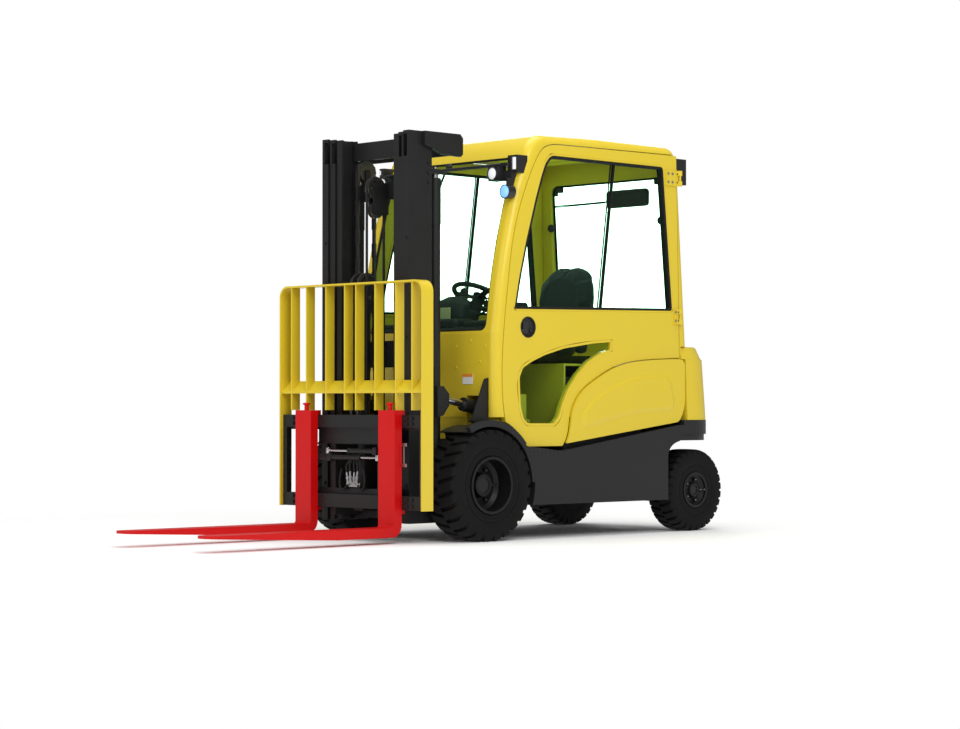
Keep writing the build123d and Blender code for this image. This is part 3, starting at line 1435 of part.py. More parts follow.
# Sideshift frame: fork bars with hook rebates, their rails and end plates.
shift_front = -fork_face_reach + fork_thickness
bar_rear = shift_front + bar_thickness
end_plate_outer = backrest_half_width - backrest_plate
with BuildPart() as sideshift_frame:
    half = end_plate_outer
    block(-half, half, shift_front, bar_rear, upper_bar_bottom, upper_bar_top)
    block(-half, half, shift_front, bar_rear, lower_bar_bottom, lower_bar_top)
    block(-half, half, bar_rear - hook_rebate, bar_rear + 1, upper_bar_top - hook_rise, upper_bar_top + 1,
          Mode.SUBTRACT)
    block(-half, half, bar_rear - hook_rebate, bar_rear + 1, lower_bar_bottom - 1,
          lower_bar_bottom + hook_rise, Mode.SUBTRACT)
    block(-half, half, bar_rear - 8, carriage_bar_rear, carriage_top + seat_gap, upper_bar_bottom + 3)
    block(-230, 230, bar_rear - 1, carriage_front - seat_gap, 196, 236)
    for hand in (1, -1):
        block(hand * (end_plate_outer - end_plate_thickness), hand * end_plate_outer, shift_front,
              bar_rear, lower_bar_bottom, upper_bar_top)
    block(-230, 230, bar_rear - 1, carriage_front - seat_gap, 505, 576)
finish(sideshift_frame, "sideshift_frame")

# Load backrest: bent side plates, a head bar and eight upright bars with a sloped crossbar.
back_front = shift_front - 18
back_rear = back_front + backrest_depth
bar_front = back_front + 10
with BuildPart() as backrest:
    with BuildSketch(across(back_rear)) as arch:
        with Locations((0, (backrest_top + backrest_bottom) / 2)):
            Rectangle(2 * backrest_half_width, backrest_top - backrest_bottom)
        fillet(arch.vertices().group_by(Axis.Y)[-1], backrest_corner)
        with Locations((0, (backrest_top + backrest_bottom) / 2 - backrest_plate)):
            Rectangle(2 * (backrest_half_width - backrest_plate), backrest_top - backrest_bottom,
                      mode=Mode.SUBTRACT)
    extrude(amount=backrest_depth)
    with BuildSketch(across(back_rear)) as corners:
        with Locations((0, backrest_top - 60)):
            Rectangle(2 * backrest_half_width, 120)
        fillet(corners.vertices().group_by(Axis.Y)[-1], backrest_corner)
        with Locations((0, backrest_top - 70)):
            RectangleRounded(2 * (backrest_half_width - backrest_plate), 120,
                             backrest_corner - backrest_plate, mode=Mode.SUBTRACT)
        with Locations((0, backrest_top - 130)):
            Rectangle(2 * (backrest_half_width - backrest_plate), 120, mode=Mode.SUBTRACT)
    extrude(amount=backrest_depth)
    for place in backrest_bar_places:
        pair_block(place - 5, place + 5, bar_front, bar_front + backrest_bar_depth,
                   upper_bar_top + seat_gap + 24, backrest_top - 4)
    with BuildSketch(side(-backrest_half_width + 4)):
        Polygon(
            (bar_front, crossbar_front_z), (bar_front + backrest_bar_depth, crossbar_rear_z),
            (bar_front + backrest_bar_depth, crossbar_rear_z + 10), (bar_front, crossbar_front_z + 10),
            align=None,
        )
    extrude(amount=2 * backrest_half_width - 8)
finish(backrest, "backrest")


# Forks: forged, with a taper toward the tip and two hooks on the bars.
def fork(x, name):
    back = shift_front - seat_gap
    front = back - fork_thickness + seat_gap
    tip = back - fork_thickness - fork_length
    top = fork_underside + fork_thickness
    rounding = fork_heel_radius - fork_thickness
    with BuildPart() as body:
        with BuildSketch(side(x - fork_width / 2)) as outline:
            with BuildLine():
                Polyline((back, upper_bar_top + 24), (back, fork_underside), (front - 380, fork_underside),
                         (tip, top - fork_tip_thickness), (tip, top), (front, top),
                         (front, upper_bar_top + 24), close=True)
            make_face()
            fillet(outline.vertices().sort_by_distance((back, fork_underside))[0], fork_heel_radius)
            fillet(outline.vertices().sort_by_distance((front, top))[0], rounding)
        extrude(amount=fork_width)
        with BuildSketch(level(fork_underside - 1)):
            with Locations((x, tip + 100)):
                Rectangle(fork_width + 40, 260)
            with Locations((x, tip + 200)):
                RectangleRounded(fork_width, 400, 45, mode=Mode.SUBTRACT)
            with Locations((x, tip + 200)):
                Rectangle(fork_width + 42, 200, mode=Mode.SUBTRACT)
        extrude(amount=fork_thickness + 4, mode=Mode.SUBTRACT)
        block(x - fork_width / 2 + 10, x + fork_width / 2 - 10, back - 1, bar_rear - 0.5,
              upper_bar_top + seat_gap, upper_bar_top + 24)
        block(x - fork_width / 2 + 10, x + fork_width / 2 - 10, bar_rear - hook_rebate + seat_gap,
              bar_rear - 0.5, upper_bar_top - hook_rise + 6, upper_bar_top + 2)
        block(x - fork_width / 2 + 10, x + fork_width / 2 - 10, back - 1, bar_rear - 0.5,
              lower_bar_bottom - 20, lower_bar_bottom - seat_gap)
        rod_z(x, back - fork_thickness / 2, upper_bar_top + 20, upper_bar_top + 50, 12)
    finish(body, name)


fork(fork_half_spread, "fork_left")
fork(-fork_half_spread, "fork_right")
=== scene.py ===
import math

import bmesh
import bpy
import numpy as np
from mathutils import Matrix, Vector


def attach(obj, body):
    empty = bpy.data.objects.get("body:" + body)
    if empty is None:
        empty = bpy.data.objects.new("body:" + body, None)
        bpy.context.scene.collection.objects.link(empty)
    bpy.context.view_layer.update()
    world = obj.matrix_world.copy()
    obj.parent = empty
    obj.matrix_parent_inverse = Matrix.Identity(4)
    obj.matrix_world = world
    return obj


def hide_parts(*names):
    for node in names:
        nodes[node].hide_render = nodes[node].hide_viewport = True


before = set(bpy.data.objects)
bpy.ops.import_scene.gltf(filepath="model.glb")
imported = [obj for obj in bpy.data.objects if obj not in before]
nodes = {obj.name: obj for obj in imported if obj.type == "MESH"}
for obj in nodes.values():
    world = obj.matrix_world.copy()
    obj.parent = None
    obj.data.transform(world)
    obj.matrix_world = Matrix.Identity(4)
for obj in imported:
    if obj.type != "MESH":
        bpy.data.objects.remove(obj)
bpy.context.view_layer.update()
axleY = -0.0895  # front axle's Y in the shared frame, metres
print("frame loaded:", len(nodes), "nodes")


# Shader maths
class Socket:
    # One output socket. Arithmetic on it adds Math nodes.
    def __init__(self, graph, link):
        self.graph, self.link = graph, link

    def math(self, operation, other):
        return self.graph.add("ShaderNodeMath", {"operation": operation}, self, other)

    def __add__(self, other): return self.math("ADD", other)
    def __radd__(self, other): return self.math("ADD", other)
    def __mul__(self, other): return self.math("MULTIPLY", other)
    def __rmul__(self, other): return self.math("MULTIPLY", other)
    def __sub__(self, other): return self.math("SUBTRACT", other)
    def __rsub__(self, other): return self.graph.add("ShaderNodeMath", {"operation": "SUBTRACT"}, other, self)
    def __truediv__(self, other): return self.math("DIVIDE", other)
    def __pow__(self, other): return self.math("POWER", other)
    def clamp(self): return self.graph.add("ShaderNodeClamp", {}, self)


class Graph:
    # The nodes of one new material or world.
    def __init__(self, name, kind="Material"):
        self.owner = (bpy.data.worlds if kind == "World" else bpy.data.materials).new(name)
        self.owner.use_nodes = True
        self.tree = self.owner.node_tree
        self.tree.nodes.clear()
        self.output = self.tree.nodes.new("ShaderNodeOutput" + kind)

    def put(self, socket, value):
        # links a Socket, or sets a value; a colour of three numbers gets its alpha
        if isinstance(value, Socket):
            self.tree.links.new(value.link, socket)
        elif value is not None:
            if hasattr(value, "__len__") and len(value) < len(socket.default_value):
                value = (*value, 1.0)
            socket.default_value = value

    def add(self, kind, settings, *inputs, out=0, **named):
        # one node: its settings first, then its inputs by place and by name
        node = self.tree.nodes.new(kind)
        for key, value in settings.items():
            setattr(node, key, value)
        for index, value in enumerate(inputs):
            self.put(node.inputs[index], value)
        for key, value in named.items():
            self.put(node.inputs[key.replace("_", " ")], value)
        return Socket(self, node.outputs[out])

    def place(self, scale=None):
        coords = self.add("ShaderNodeTexCoord", {}, out="Object")
        return self.add("ShaderNodeMapping", {}, coords, Scale=scale) if scale else coords

    def axis(self, which):
        return self.add("ShaderNodeSeparateXYZ", {}, self.place(), out=which)

    def noise(self, scale, detail=3.0, rough=0.5, where=None):
        return self.add("ShaderNodeTexNoise", {}, where or self.place(), Scale=scale, Detail=detail,
                        Roughness=rough, out="Fac")

    def mixColour(self, factor, first, second):
        # a Mix node's colours are its inputs 6 and 7 and its output 2
        return self.add("ShaderNodeMix", {"data_type": "RGBA"}, factor, *[None] * 5, first, second, out=2)

    def bump(self, height, strength, distance):
        return self.add("ShaderNodeBump", {}, Height=height, Strength=strength, Distance=distance)

    def blend(self, factor, first, second):
        # two shaders mixed, as the owner's surface
        return self.show(self.add("ShaderNodeMixShader", {}, factor, first, second))

    def show(self, shader):
        self.tree.links.new(shader.link, self.output.inputs[0])
        return self.owner

    def finish(self, **named):
        return self.show(self.add("ShaderNodeBsdfPrincipled", {}, **named))


# Finishes
def paintFinish(name, base, dust, rough, coat, gloss):
    # base colour, faint mottling, dust near the floor, orange-peel bump
    graph = Graph(name)
    mottle = graph.noise(6.0, 5.0)
    low = (1.0 - graph.axis("Z") * 1.6).clamp()
    dusty = (graph.noise(23.0, 6.0, 0.62) * low * 0.55).clamp()
    tone = graph.mixColour((mottle - 0.5) * 0.22 + 0.1, base, dust)
    return graph.finish(Base_Color=graph.mixColour(dusty * 0.35, tone, dust),
                        Roughness=mottle * 0.12 + (rough - 0.06) + dusty * 0.25,
                        Normal=graph.bump(graph.noise(420.0, 2.0), 0.05, 0.0006),
                        Coat_Weight=coat, Coat_Roughness=0.12, Specular_IOR_Level=gloss)


def twoTone(name, upper, lower, edge, rough):
    # one colour above a height in metres and another below it, with mottling and a fine bump
    graph = Graph(name)
    mottle = graph.noise(7.0, 5.0)
    above = ((graph.axis("Z") - edge) * 400.0).clamp()
    colour = graph.mixColour(mottle * 0.18, graph.mixColour(above, lower, upper), (0.05, 0.045, 0.03))
    return graph.finish(Base_Color=colour, Roughness=mottle * 0.14 + rough, Specular_IOR_Level=0.35,
                        Normal=graph.bump(graph.noise(330.0, 2.0), 0.08, 0.0005))


def rubberFinish(name, base, grey, rough):
    graph = Graph(name)
    wear = graph.noise(14.0, 6.0, 0.6)
    colour = graph.mixColour((wear * 1.6 - 0.5).clamp() * 0.5, base, grey)
    return graph.finish(Base_Color=colour, Roughness=wear * 0.15 + rough, Specular_IOR_Level=0.2,
                        Normal=graph.bump(graph.noise(260.0, 3.0), 0.25, 0.0006))


def steelFinish(name, base, rough, oily=0.0):
    graph = Graph(name)
    streak = graph.noise(60.0, 4.0, 0.6, graph.place((1, 1, 0.05)))
    stain = (graph.noise(9.0, 5.0) * 1.5 - 0.4).clamp() * (0.35 + oily)
    return graph.finish(Base_Color=graph.mixColour(stain, base, tuple(0.35 * c for c in base)), Metallic=1.0,
                        Roughness=streak * 0.18 + rough, Normal=graph.bump(streak, 0.08, 0.0004))


def plasticFinish(name, base, rough, grainScale=300.0, bump=0.15):
    graph = Graph(name)
    mottle = graph.noise(8.0, 4.0)
    colour = graph.mixColour(mottle * 0.35, base, tuple(min(1, 1.9 * c + 0.006) for c in base))
    return graph.finish(Base_Color=colour, Roughness=mottle * 0.12 + rough,
                        Normal=graph.bump(graph.noise(grainScale, 2.0), bump, 0.0005))


def glassFinish(name, tint, gloss):
    # thin tinted glass: a coloured see-through layer under a gloss that smears vary
    graph = Graph(name)
    smear = graph.noise(4.0, 6.0, 0.65)
    clear = graph.add("ShaderNodeBsdfTransparent", {}, tint)
    shine = graph.add("ShaderNodeBsdfPrincipled", {}, Roughness=smear * 0.06 + 0.02,
                      Base_Color=graph.mixColour(smear, (0.02, 0.03, 0.03), (0.06, 0.08, 0.08)))
    return graph.blend((smear - 0.5) * 0.04 + gloss, clear, shine)


def clothFinish(name, base, thread):
    graph = Graph(name)
    weft, warp = [graph.add("ShaderNodeTexWave", {"bands_direction": way}, graph.place(), scale, 0.6, out="Fac")
                  for way, scale in (("X", 420.0), ("DIAGONAL", 300.0))]
    wear = graph.noise(7.0, 4.0)
    return graph.finish(Base_Color=graph.mixColour(weft * warp * 0.6 + wear * 0.2, base, thread),
                        Roughness=wear * 0.1 + 0.82, Normal=graph.bump(weft + warp, 0.2, 0.0006),
                        Sheen_Weight=0.15)


def lensFinish(name, tint, glow):
    graph = Graph(name)
    flute = graph.add("ShaderNodeTexWave", {"bands_direction": "X"}, graph.place(), 90.0, 0.3, out="Fac")
    colour = graph.mixColour(flute * 0.4, tint, tuple(min(1, 1.4 * c + 0.05) for c in tint))
    return graph.finish(Base_Color=colour, Roughness=flute * 0.08 + 0.06, Emission_Color=colour,
                        Emission_Strength=glow, Normal=graph.bump(flute, 0.3, 0.0008), Coat_Weight=0.6)


# each finish's values, in its function's order
recipes = {
    paintFinish: {
        "bodyYellow": ((0.73, 0.545, 0.024), (0.60, 0.47, 0.05), 0.36, 0.2, 0.4),
        "forkRed": ((0.62, 0.002, 0.0025), (0.45, 0.012, 0.012), 0.38, 0.04, 0.2),
        "mastGrey": ((0.011, 0.011, 0.0112), (0.024, 0.024, 0.024), 0.44, 0.03, 0.3),
        "chassisGrey": ((0.0125, 0.013, 0.013), (0.024, 0.024, 0.024), 0.46, 0.03, 0.3),
        "rimDark": ((0.006, 0.006, 0.0062), (0.016, 0.0155, 0.015), 0.42, 0.03, 0.25),
    },
    rubberFinish: {
        "tyreRubber": ((0.0035, 0.0035, 0.0035), (0.011, 0.0105, 0.010), 0.66),
        "hoseRubber": ((0.012, 0.012, 0.012), (0.03, 0.03, 0.03), 0.5),
        "gasketRubber": ((0.01, 0.01, 0.01), (0.02, 0.02, 0.02), 0.55),
    },
    twoTone: {"deckPaint": ((0.66, 0.50, 0.03), (0.02, 0.02, 0.02), 0.525, 0.4)},
    steelFinish: {
        "brightSteel": ((0.62, 0.62, 0.64), 0.16),
        "chainSteel": ((0.16, 0.15, 0.145), 0.34, 0.3),
        "zincSteel": ((0.42, 0.42, 0.43), 0.3),
    },
    plasticFinish: {
        "trimBlack": ((0.012, 0.012, 0.0125), 0.5),
        "dashBlack": ((0.016, 0.017, 0.018), 0.6, 190.0, 0.3),
        "lampBlack": ((0.010, 0.010, 0.011), 0.28, 400.0, 0.05),
        "batteryBox": ((0.05, 0.05, 0.052), 0.55),
        "plainPlate": ((0.72, 0.72, 0.70), 0.4, 500.0, 0.04),
        "plateOrange": ((0.80, 0.22, 0.02), 0.4, 500.0, 0.04),
        "labelTan": ((0.42, 0.36, 0.20), 0.35, 500.0, 0.04),
        "seatVinyl": ((0.010, 0.014, 0.017), 0.42, 240.0, 0.25),
    },
    glassFinish: {"sideGlass": ((0.80, 0.92, 0.85), 0.025)},
    clothFinish: {"seatCloth": ((0.010, 0.016, 0.020), (0.030, 0.040, 0.045))},
    lensFinish: {
        "whiteLens": ((0.82, 0.84, 0.86), 0.25),
        "blueLens": ((0.16, 0.38, 0.85), 0.8),
        "redLens": ((0.55, 0.02, 0.02), 0.15),
        "amberLens": ((0.85, 0.30, 0.02), 0.15),
    },
}
finishes = {name: recipe(name, *values) for recipe, rows in recipes.items() for name, values in rows.items()}

nodeFinish = {
    "bodyYellow": ("counterweight", "rear_cap", "battery_panels", "cab_frame", "door_left", "door_right",
                   "backrest"),
    "forkRed": ("fork_left", "fork_right"),
    "mastGrey": ("mast_outer", "lift_cylinders", "mast_middle", "mast_inner", "free_lift_cylinder", "crosshead",
                 "carriage", "sideshift_frame"),
    "chassisGrey": ("drive_axle", "steer_axle", "knuckle_left", "knuckle_right", "frame", "counterweight_base",
                    "fenders", "tilt_barrels"),
    "deckPaint": ("cab_deck",),
    "rimDark": ("rim_front_left", "rim_front_right", "rim_rear_left", "rim_rear_right"),
    "tyreRubber": ("tyre_front_left", "tyre_front_right", "tyre_rear_left", "tyre_rear_right"),
    "brightSteel": ("lift_rods", "tilt_rods"),
    "chainSteel": ("main_chains", "carriage_chain", "pulleys"),
    "hoseRubber": ("hoses",),
    "trimBlack": ("seat_base", "steering_wheel", "door_trim_left", "door_trim_right"),
    "dashBlack": ("dashboard",),
    "lampBlack": ("front_lamps", "rear_lamps"),
    "batteryBox": ("battery",),
    "sideGlass": ("cab_glass", "door_glass_left", "door_glass_right"),
    "seatVinyl": ("seat_back", "seat_cushion"),
}
for finishName, members in nodeFinish.items():
    for member in members:
        mesh = nodes[member].data
        mesh.materials.clear()
        mesh.materials.append(finishes[finishName])
print("finishes set:", len(finishes))

# Stage, lights and camera
stageSizes = {"floor": 30.0, "shade": 0.93, "gloss": 0.25, "fadeFrom": 1.7, "fadeOver": 2.2, "behindGlass": 6.0,
              "lit": 0.54, "glossLess": 0.28}
cameraView = {"at": (9.5455, -8.8259, 0.697), "turn": 46.02, "pitch": 0.98, "lens": 91.29}


def floorFinish(name):
    # diffuse near the object for its shadow, plain white further out and in part for gloss
    graph = Graph(name)
    glossy = graph.add("ShaderNodeLightPath", {}, out="Is Glossy Ray")
    across = (graph.axis("X") ** 2 + graph.axis("Y") ** 2) ** 0.5
    far = ((across - stageSizes["fadeFrom"]) / stageSizes["fadeOver"]).clamp()
    return graph.blend((glossy * stageSizes["gloss"]).math("MAXIMUM", far),
                       graph.add("ShaderNodeBsdfDiffuse", {}, [stageSizes["shade"]] * 3),
                       graph.add("ShaderNodeEmission", {}, (1, 1, 1)))


def worldFinish(name):
    # soft light on the object, white behind it, and brighter white behind tinted glass
    graph = Graph(name, "World")
    camera, transmitted, glossy, layers = [
        graph.add("ShaderNodeLightPath", {}, out=ray)
        for ray in ("Is Camera Ray", "Is Transmission Ray", "Is Glossy Ray", "Transparent Depth")]
    lit = graph.add("ShaderNodeBackground", {}, (1, 1, 1), glossy * -stageSizes["glossLess"] + stageSizes["lit"])
    seen = graph.add("ShaderNodeBackground", {}, (1, 1, 1),
                     layers.math("MINIMUM", 1.0) * stageSizes["behindGlass"] + 1.0)
    return graph.blend(camera.math("MAXIMUM", transmitted), lit, seen)


def placed(name, data):
    obj = bpy.data.objects.new(name, data)
    bpy.context.scene.collection.objects.link(obj)
    return obj


floorMesh = bpy.data.meshes.new("floor")
far = stageSizes["floor"]
floorMesh.from_pydata([(-far, -far, 0), (far, -far, 0), (far, far, 0), (-far, far, 0)], [], [(0, 1, 2, 3)])
floor = placed("floor", floorMesh)
floorMesh.materials.append(floorFinish("floorWhite"))
bpy.context.scene.world = worldFinish("studio")

# each light's place, the height it aims at, its size and its watts
lampSet = {
    "keyLeft": ((6.5, -3.0, 5.5), 0.9, 4.0, 275),
    "frontFill": ((0.5, -9.0, 3.2), 0.9, 5.0, 140),
    "topSoft": ((0.0, 0.5, 6.5), 0.0, 5.0, 215),
    "rearRim": ((-5.0, 6.0, 4.0), 1.0, 3.0, 100),
}
for name, (place, aim, size, watts) in lampSet.items():
    light = bpy.data.lights.new(name, "AREA")
    light.shape = "SQUARE"
    light.size, light.energy = size, watts
    lightObject = placed(name, light)
    lightObject.location = place
    direction = Vector((0, 0, aim)) - Vector(place)
    lightObject.rotation_euler = direction.to_track_quat("-Z", "Y").to_euler()

cameraData = bpy.data.cameras.new("camera")
cameraData.sensor_fit = "HORIZONTAL"
cameraData.lens = cameraView["lens"]
cameraData.clip_end = 100
camera = placed("camera", cameraData)
camera.location = cameraView["at"]
camera.rotation_euler = (math.radians(90 + cameraView["pitch"]), 0, math.radians(cameraView["turn"]))
bpy.context.scene.camera = camera
bpy.context.scene.view_settings.view_transform = "Standard"
print("stage set")


# Surfaces
def here(points):
    # millimetres counted from the front axle to metres in the shared frame
    points = np.array(points, float) / 1000.0
    points[..., 1] += axleY
    return points


def surface(grid, wrapRows=False, wrapCols=False, capped=False):
    # a point grid as quads; wrapping joins the last row or column to the first, capped closes the end rows
    rows, cols = grid.shape[:2]
    a, b = np.meshgrid(np.arange(rows if wrapRows else rows - 1), np.arange(cols if wrapCols else cols - 1),
                       indexing="ij")
    a2, b2 = (a + 1) % rows, (b + 1) % cols
    quads = np.stack([a * cols + b, a * cols + b2, a2 * cols + b2, a2 * cols + b], axis=-1)
    faces = quads.reshape(-1, 4).tolist()
    if capped:
        faces.append(list(range(cols))[::-1])
        faces.append([(rows - 1) * cols + k for k in range(cols)])
    return grid.reshape(-1, 3), faces


def framed(direction):
    # two unit vectors square to a direction
    w = np.array(direction, float)
    w /= np.linalg.norm(w)
    u = np.cross(w, (0, 0, 1) if abs(w[2]) < 0.9 else (0, 1, 0))
    u /= np.linalg.norm(u)
    return u, np.cross(w, u), w


def fullTurn(count):
    return np.linspace(0, 2 * math.pi, count, endpoint=False)


def lathe(profile, centre, axis, sides=32, ring=False):
    # a profile of (radius, height) pairs turned about an axis through the centre; a ring's profile closes on itself
    profile = np.array(profile, float) / 1000.0
    u, v, w = framed(axis)
    angle = fullTurn(sides)
    circle = np.cos(angle)[:, None] * u + np.sin(angle)[:, None] * v
    grid = profile[:, 0, None, None] * circle[None] + profile[:, 1, None, None] * w
    return surface(grid + here(centre), wrapRows=ring, wrapCols=True, capped=not ring)


def smoothed(points, steps):
    # Catmull-Rom curve through points, sampled evenly in its parameter
    p = np.array(points, float)
    ends = np.vstack([2 * p[0] - p[1], p, 2 * p[-1] - p[-2]])
    t = np.linspace(0, len(p) - 1, steps)
    k = np.minimum(t.astype(int), len(p) - 2)
    f = (t - k)[:, None]
    a, b, c, d = ends[k], ends[k + 1], ends[k + 2], ends[k + 3]
    return 0.5 * (2 * b + (c - a) * f + (2 * a - 5 * b + 4 * c - d) * f**2 + (3 * b - a - 3 * c + d) * f**3)


def tube(path, radius, sides=10, wrap=False, flat=1.0, up=(0.31, 0.17, 0.93)):
    # a circle, or an oval of a given flatness, carried along a path of points in millimetres
    p = here(path)
    if wrap:
        tangent = np.roll(p, -1, axis=0) - np.roll(p, 1, axis=0)
    else:
        tangent = np.gradient(p, axis=0)
    tangent /= np.linalg.norm(tangent, axis=1)[:, None]
    u = np.cross(tangent, np.array(up))
    u /= np.linalg.norm(u, axis=1)[:, None]
    v = np.cross(tangent, u)
    angle = fullTurn(sides)
    r = np.broadcast_to(np.array(radius, float) / 1000.0, (len(p),))[:, None, None]
    angle = angle[None, :, None]
    grid = p[:, None] + r * (np.cos(angle) * u[:, None] + flat * np.sin(angle) * v[:, None])
    return surface(grid[:, ::-1], wrapRows=wrap, wrapCols=True, capped=not wrap)


def roundedBox(low, high, radius, steps=3):
    # a ball of the given radius, cut in eighths that are moved out to the box's corners
    low, high = np.minimum(low, high), np.maximum(low, high)
    radius = min(radius, 0.499 * float(np.min(high - low)))
    quarter = np.linspace(0, math.pi / 2, 2 * steps + 1)
    lat = np.concatenate([quarter - math.pi / 2, quarter])
    lon = np.concatenate([q * math.pi / 2 + quarter for q in range(4)])
    corner = np.repeat(np.arange(4), 2 * steps + 1)
    signX = np.array([1.0, -1.0, -1.0, 1.0])[corner][None]
    signY = np.array([1.0, 1.0, -1.0, -1.0])[corner][None]
    signZ = np.repeat([-1.0, 1.0], 2 * steps + 1)[:, None]
    middle = (low + high) / 2
    half = (high - low) / 2 - radius
    across = np.maximum(np.cos(lat), 0.004)[:, None]
    grid = np.stack([
        middle[0] + signX * half[0] + radius * across * np.cos(lon)[None],
        middle[1] + signY * half[1] + radius * across * np.sin(lon)[None],
        middle[2] + signZ * half[2] + radius * np.sin(lat)[:, None] * np.ones_like(lon)[None],
    ], axis=-1)
    return surface(here(grid), wrapCols=True, capped=True)


def sheetOf(outline, normal, thickness, bevel=0.6):
    # a flat plate: its outline in millimetres, stepped in at both faces by a small bevel
    p = here(outline)
    n = np.array(normal, float)
    n /= np.linalg.norm(n)
    t, b = thickness / 1000.0, bevel / 1000.0
    middle = p.mean(axis=0)
    inward = middle - p
    inward /= np.linalg.norm(inward, axis=1)[:, None]
    grid = np.stack([p + inward * b, p + n * b, p + n * (t - b), p + inward * b + n * t])
    return surface(grid, wrapCols=True, capped=True)


def scatter(mesh, places):
    # copies of one small mesh at many places, in millimetres
    verts, faces = mesh
    shift = np.array(places, float) / 1000.0
    points = (verts[None] + shift[:, None]).reshape(-1, 3)
    count = len(verts)
    return points, [[i + k * count for i in face] for k in range(len(shift)) for face in faces]


def joined(*meshes):
    verts, faces, base = [], [], 0
    for v, f in meshes:
        verts.append(v)
        faces += [[i + base for i in face] for face in f]
        base += len(v)
    return np.vstack(verts), faces


def mirroredX(mesh):
    verts, faces = mesh
    return verts * np.array([-1.0, 1.0, 1.0]), [face[::-1] for face in faces]


def bothSides(*meshes):
    mesh = joined(*meshes)
    return joined(mesh, mirroredX(mesh))


def outward(obj):
    # normals out on each closed shell
    work = bmesh.new()
    work.from_mesh(obj.data)
    bmesh.ops.remove_doubles(work, verts=work.verts, dist=1e-6)
    bmesh.ops.recalc_face_normals(work, faces=work.faces)
    work.to_mesh(obj.data)
    work.free()


# the slot of each finish, where it isn't the trim's
slotOf = {
    "bodyYellow": "body_yellow", "mastGrey": "mast_grey", "forkRed": "fork_red", "tyreRubber": "tyre_black",
    "hoseRubber": "hose_rubber", "sideGlass": "glass_clear",
    **dict.fromkeys(("zincSteel", "brightSteel"), "steel_bright"),
    **dict.fromkeys(("seatCloth", "seatVinyl"), "seat_fabric"),
    **dict.fromkeys(("lampBlack", "whiteLens", "blueLens", "redLens", "amberLens"), "lamp_black"),
}


def piece(name, mesh, finish, body="chassis", replaces=(), sharp=35.0):
    verts, faces = mesh
    data = bpy.data.meshes.new(name)
    data.from_pydata(np.asarray(verts).tolist(), [], faces)
    obj = placed(name, data)
    outward(obj)
    data.polygons.foreach_set("use_smooth", np.ones(len(data.polygons), bool))
    data.set_sharp_from_angle(angle=math.radians(sharp))
    data.materials.append(finishes[finish])
    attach(obj, body)
    if replaces:
        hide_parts(*replaces)
    return obj


def bolts(axis, radius, height, places):
    # hexagon heads on round washers at many places
    washer = lathe([(0.02, 0), (1.35 * radius, 0), (1.35 * radius, 0.22 * height), (0.02, 0.26 * height)],
                   (0, 0, 0), axis, 18)
    head = lathe([(0.02, 0.2 * height), (radius, 0.2 * height), (radius, 0.92 * height), (0.9 * radius, height),
                  (0.02, height)], (0, 0, 0), axis, 6)
    return scatter(joined(washer, head), places)


# Cab shell: front curve and rear line as y and z pairs; gasket loops as half width, low, high, corner radius
cabShape = {
    "front": ((60, 1076), (84, 1250), (109, 1400), (150, 1590), (225, 1857), (290, 2020), (340, 2095)),
    "rear": ((1503, 1990), (1570, 1029)),
    "screen": (465, 1095, 2005, 42), "rearWindow": (436, 1124, 1981, 52), "roof": (416, 474, 1376, 42),
    "roofZ": 2128.0, "gasket": 7, "gasketDepth": 9,
}
frontLine = smoothed(cabShape["front"], 80)


def frontY(z):
    return np.interp(z, frontLine[:, 1], frontLine[:, 0])


def rearY(z):
    (y0, z0), (y1, z1) = cabShape["rear"]
    return y0 + (z0 - z) * (y1 - y0) / (z0 - z1)


def roundedLoop(halfWidth, low, high, radius):
    # a rounded rectangle as x and z pairs, counted round its corners
    turn = np.linspace(0, math.pi / 2, 10)
    centres = [(halfWidth - radius, high - radius), (radius - halfWidth, high - radius),
               (radius - halfWidth, low + radius), (halfWidth - radius, low + radius)]
    return np.vstack([np.column_stack([x + radius * np.cos(turn + q * math.pi / 2),
                                       z + radius * np.sin(turn + q * math.pi / 2)])
                      for q, (x, z) in enumerate(centres)])


def densified(points, step=14.0):
    # a closed loop of points resampled at even steps
    p = np.vstack([points, points[:1]])
    length = np.concatenate([[0], np.cumsum(np.linalg.norm(np.diff(p, axis=0), axis=1))])
    at = np.linspace(0, length[-1], int(length[-1] / step), endpoint=False)
    return np.stack([np.interp(at, length, p[:, k]) for k in range(p.shape[1])], axis=1)


def roundedCorners(points, reach):
    # a closed loop resampled finely and averaged over its neighbours, which rounds its corners
    fine = densified(points, 7.0)
    return sum(np.roll(fine, k, axis=0) for k in range(-reach, reach + 1)) / (2 * reach + 1)


def gasketOn(path, up):
    return tube(path, cabShape["gasket"], 8, wrap=True, up=up)


def screenGasket(loop, atRear=False):
    x, z = densified(roundedLoop(*loop)).T
    y = rearY(z) - cabShape["gasketDepth"] if atRear else frontY(z) + cabShape["gasketDepth"]
    return gasketOn(np.stack([x, y, z], axis=1), (0.05, 1, 0.1))


piece("screenGaskets", joined(screenGasket(cabShape["screen"]), screenGasket(cabShape["rearWindow"], atRear=True)),
      "gasketRubber")
roofLoop = densified(roundedLoop(*cabShape["roof"]))
piece("roofGasket", gasketOn(np.column_stack([roofLoop, np.full(len(roofLoop), cabShape["roofZ"])]), (0, 0, 1)),
      "gasketRubber")

doorWindow = roundedCorners([(187, 1194), (1447, 1217), (1369, 2033), (470, 2035), (426, 1992), (395, 1925),
                             (345, 1785), (275, 1560), (225, 1372)], 4)
lowerPane = roundedCorners([(947, 1059), (800, 1049), (570, 1018), (425, 981), (324, 944), (253, 908), (224, 850),
                            (233, 693), (258, 620), (296, 593), (504, 591), (547, 632), (569, 693), (614, 775),
                            (687, 857), (777, 929), (867, 972), (947, 992)], 2)


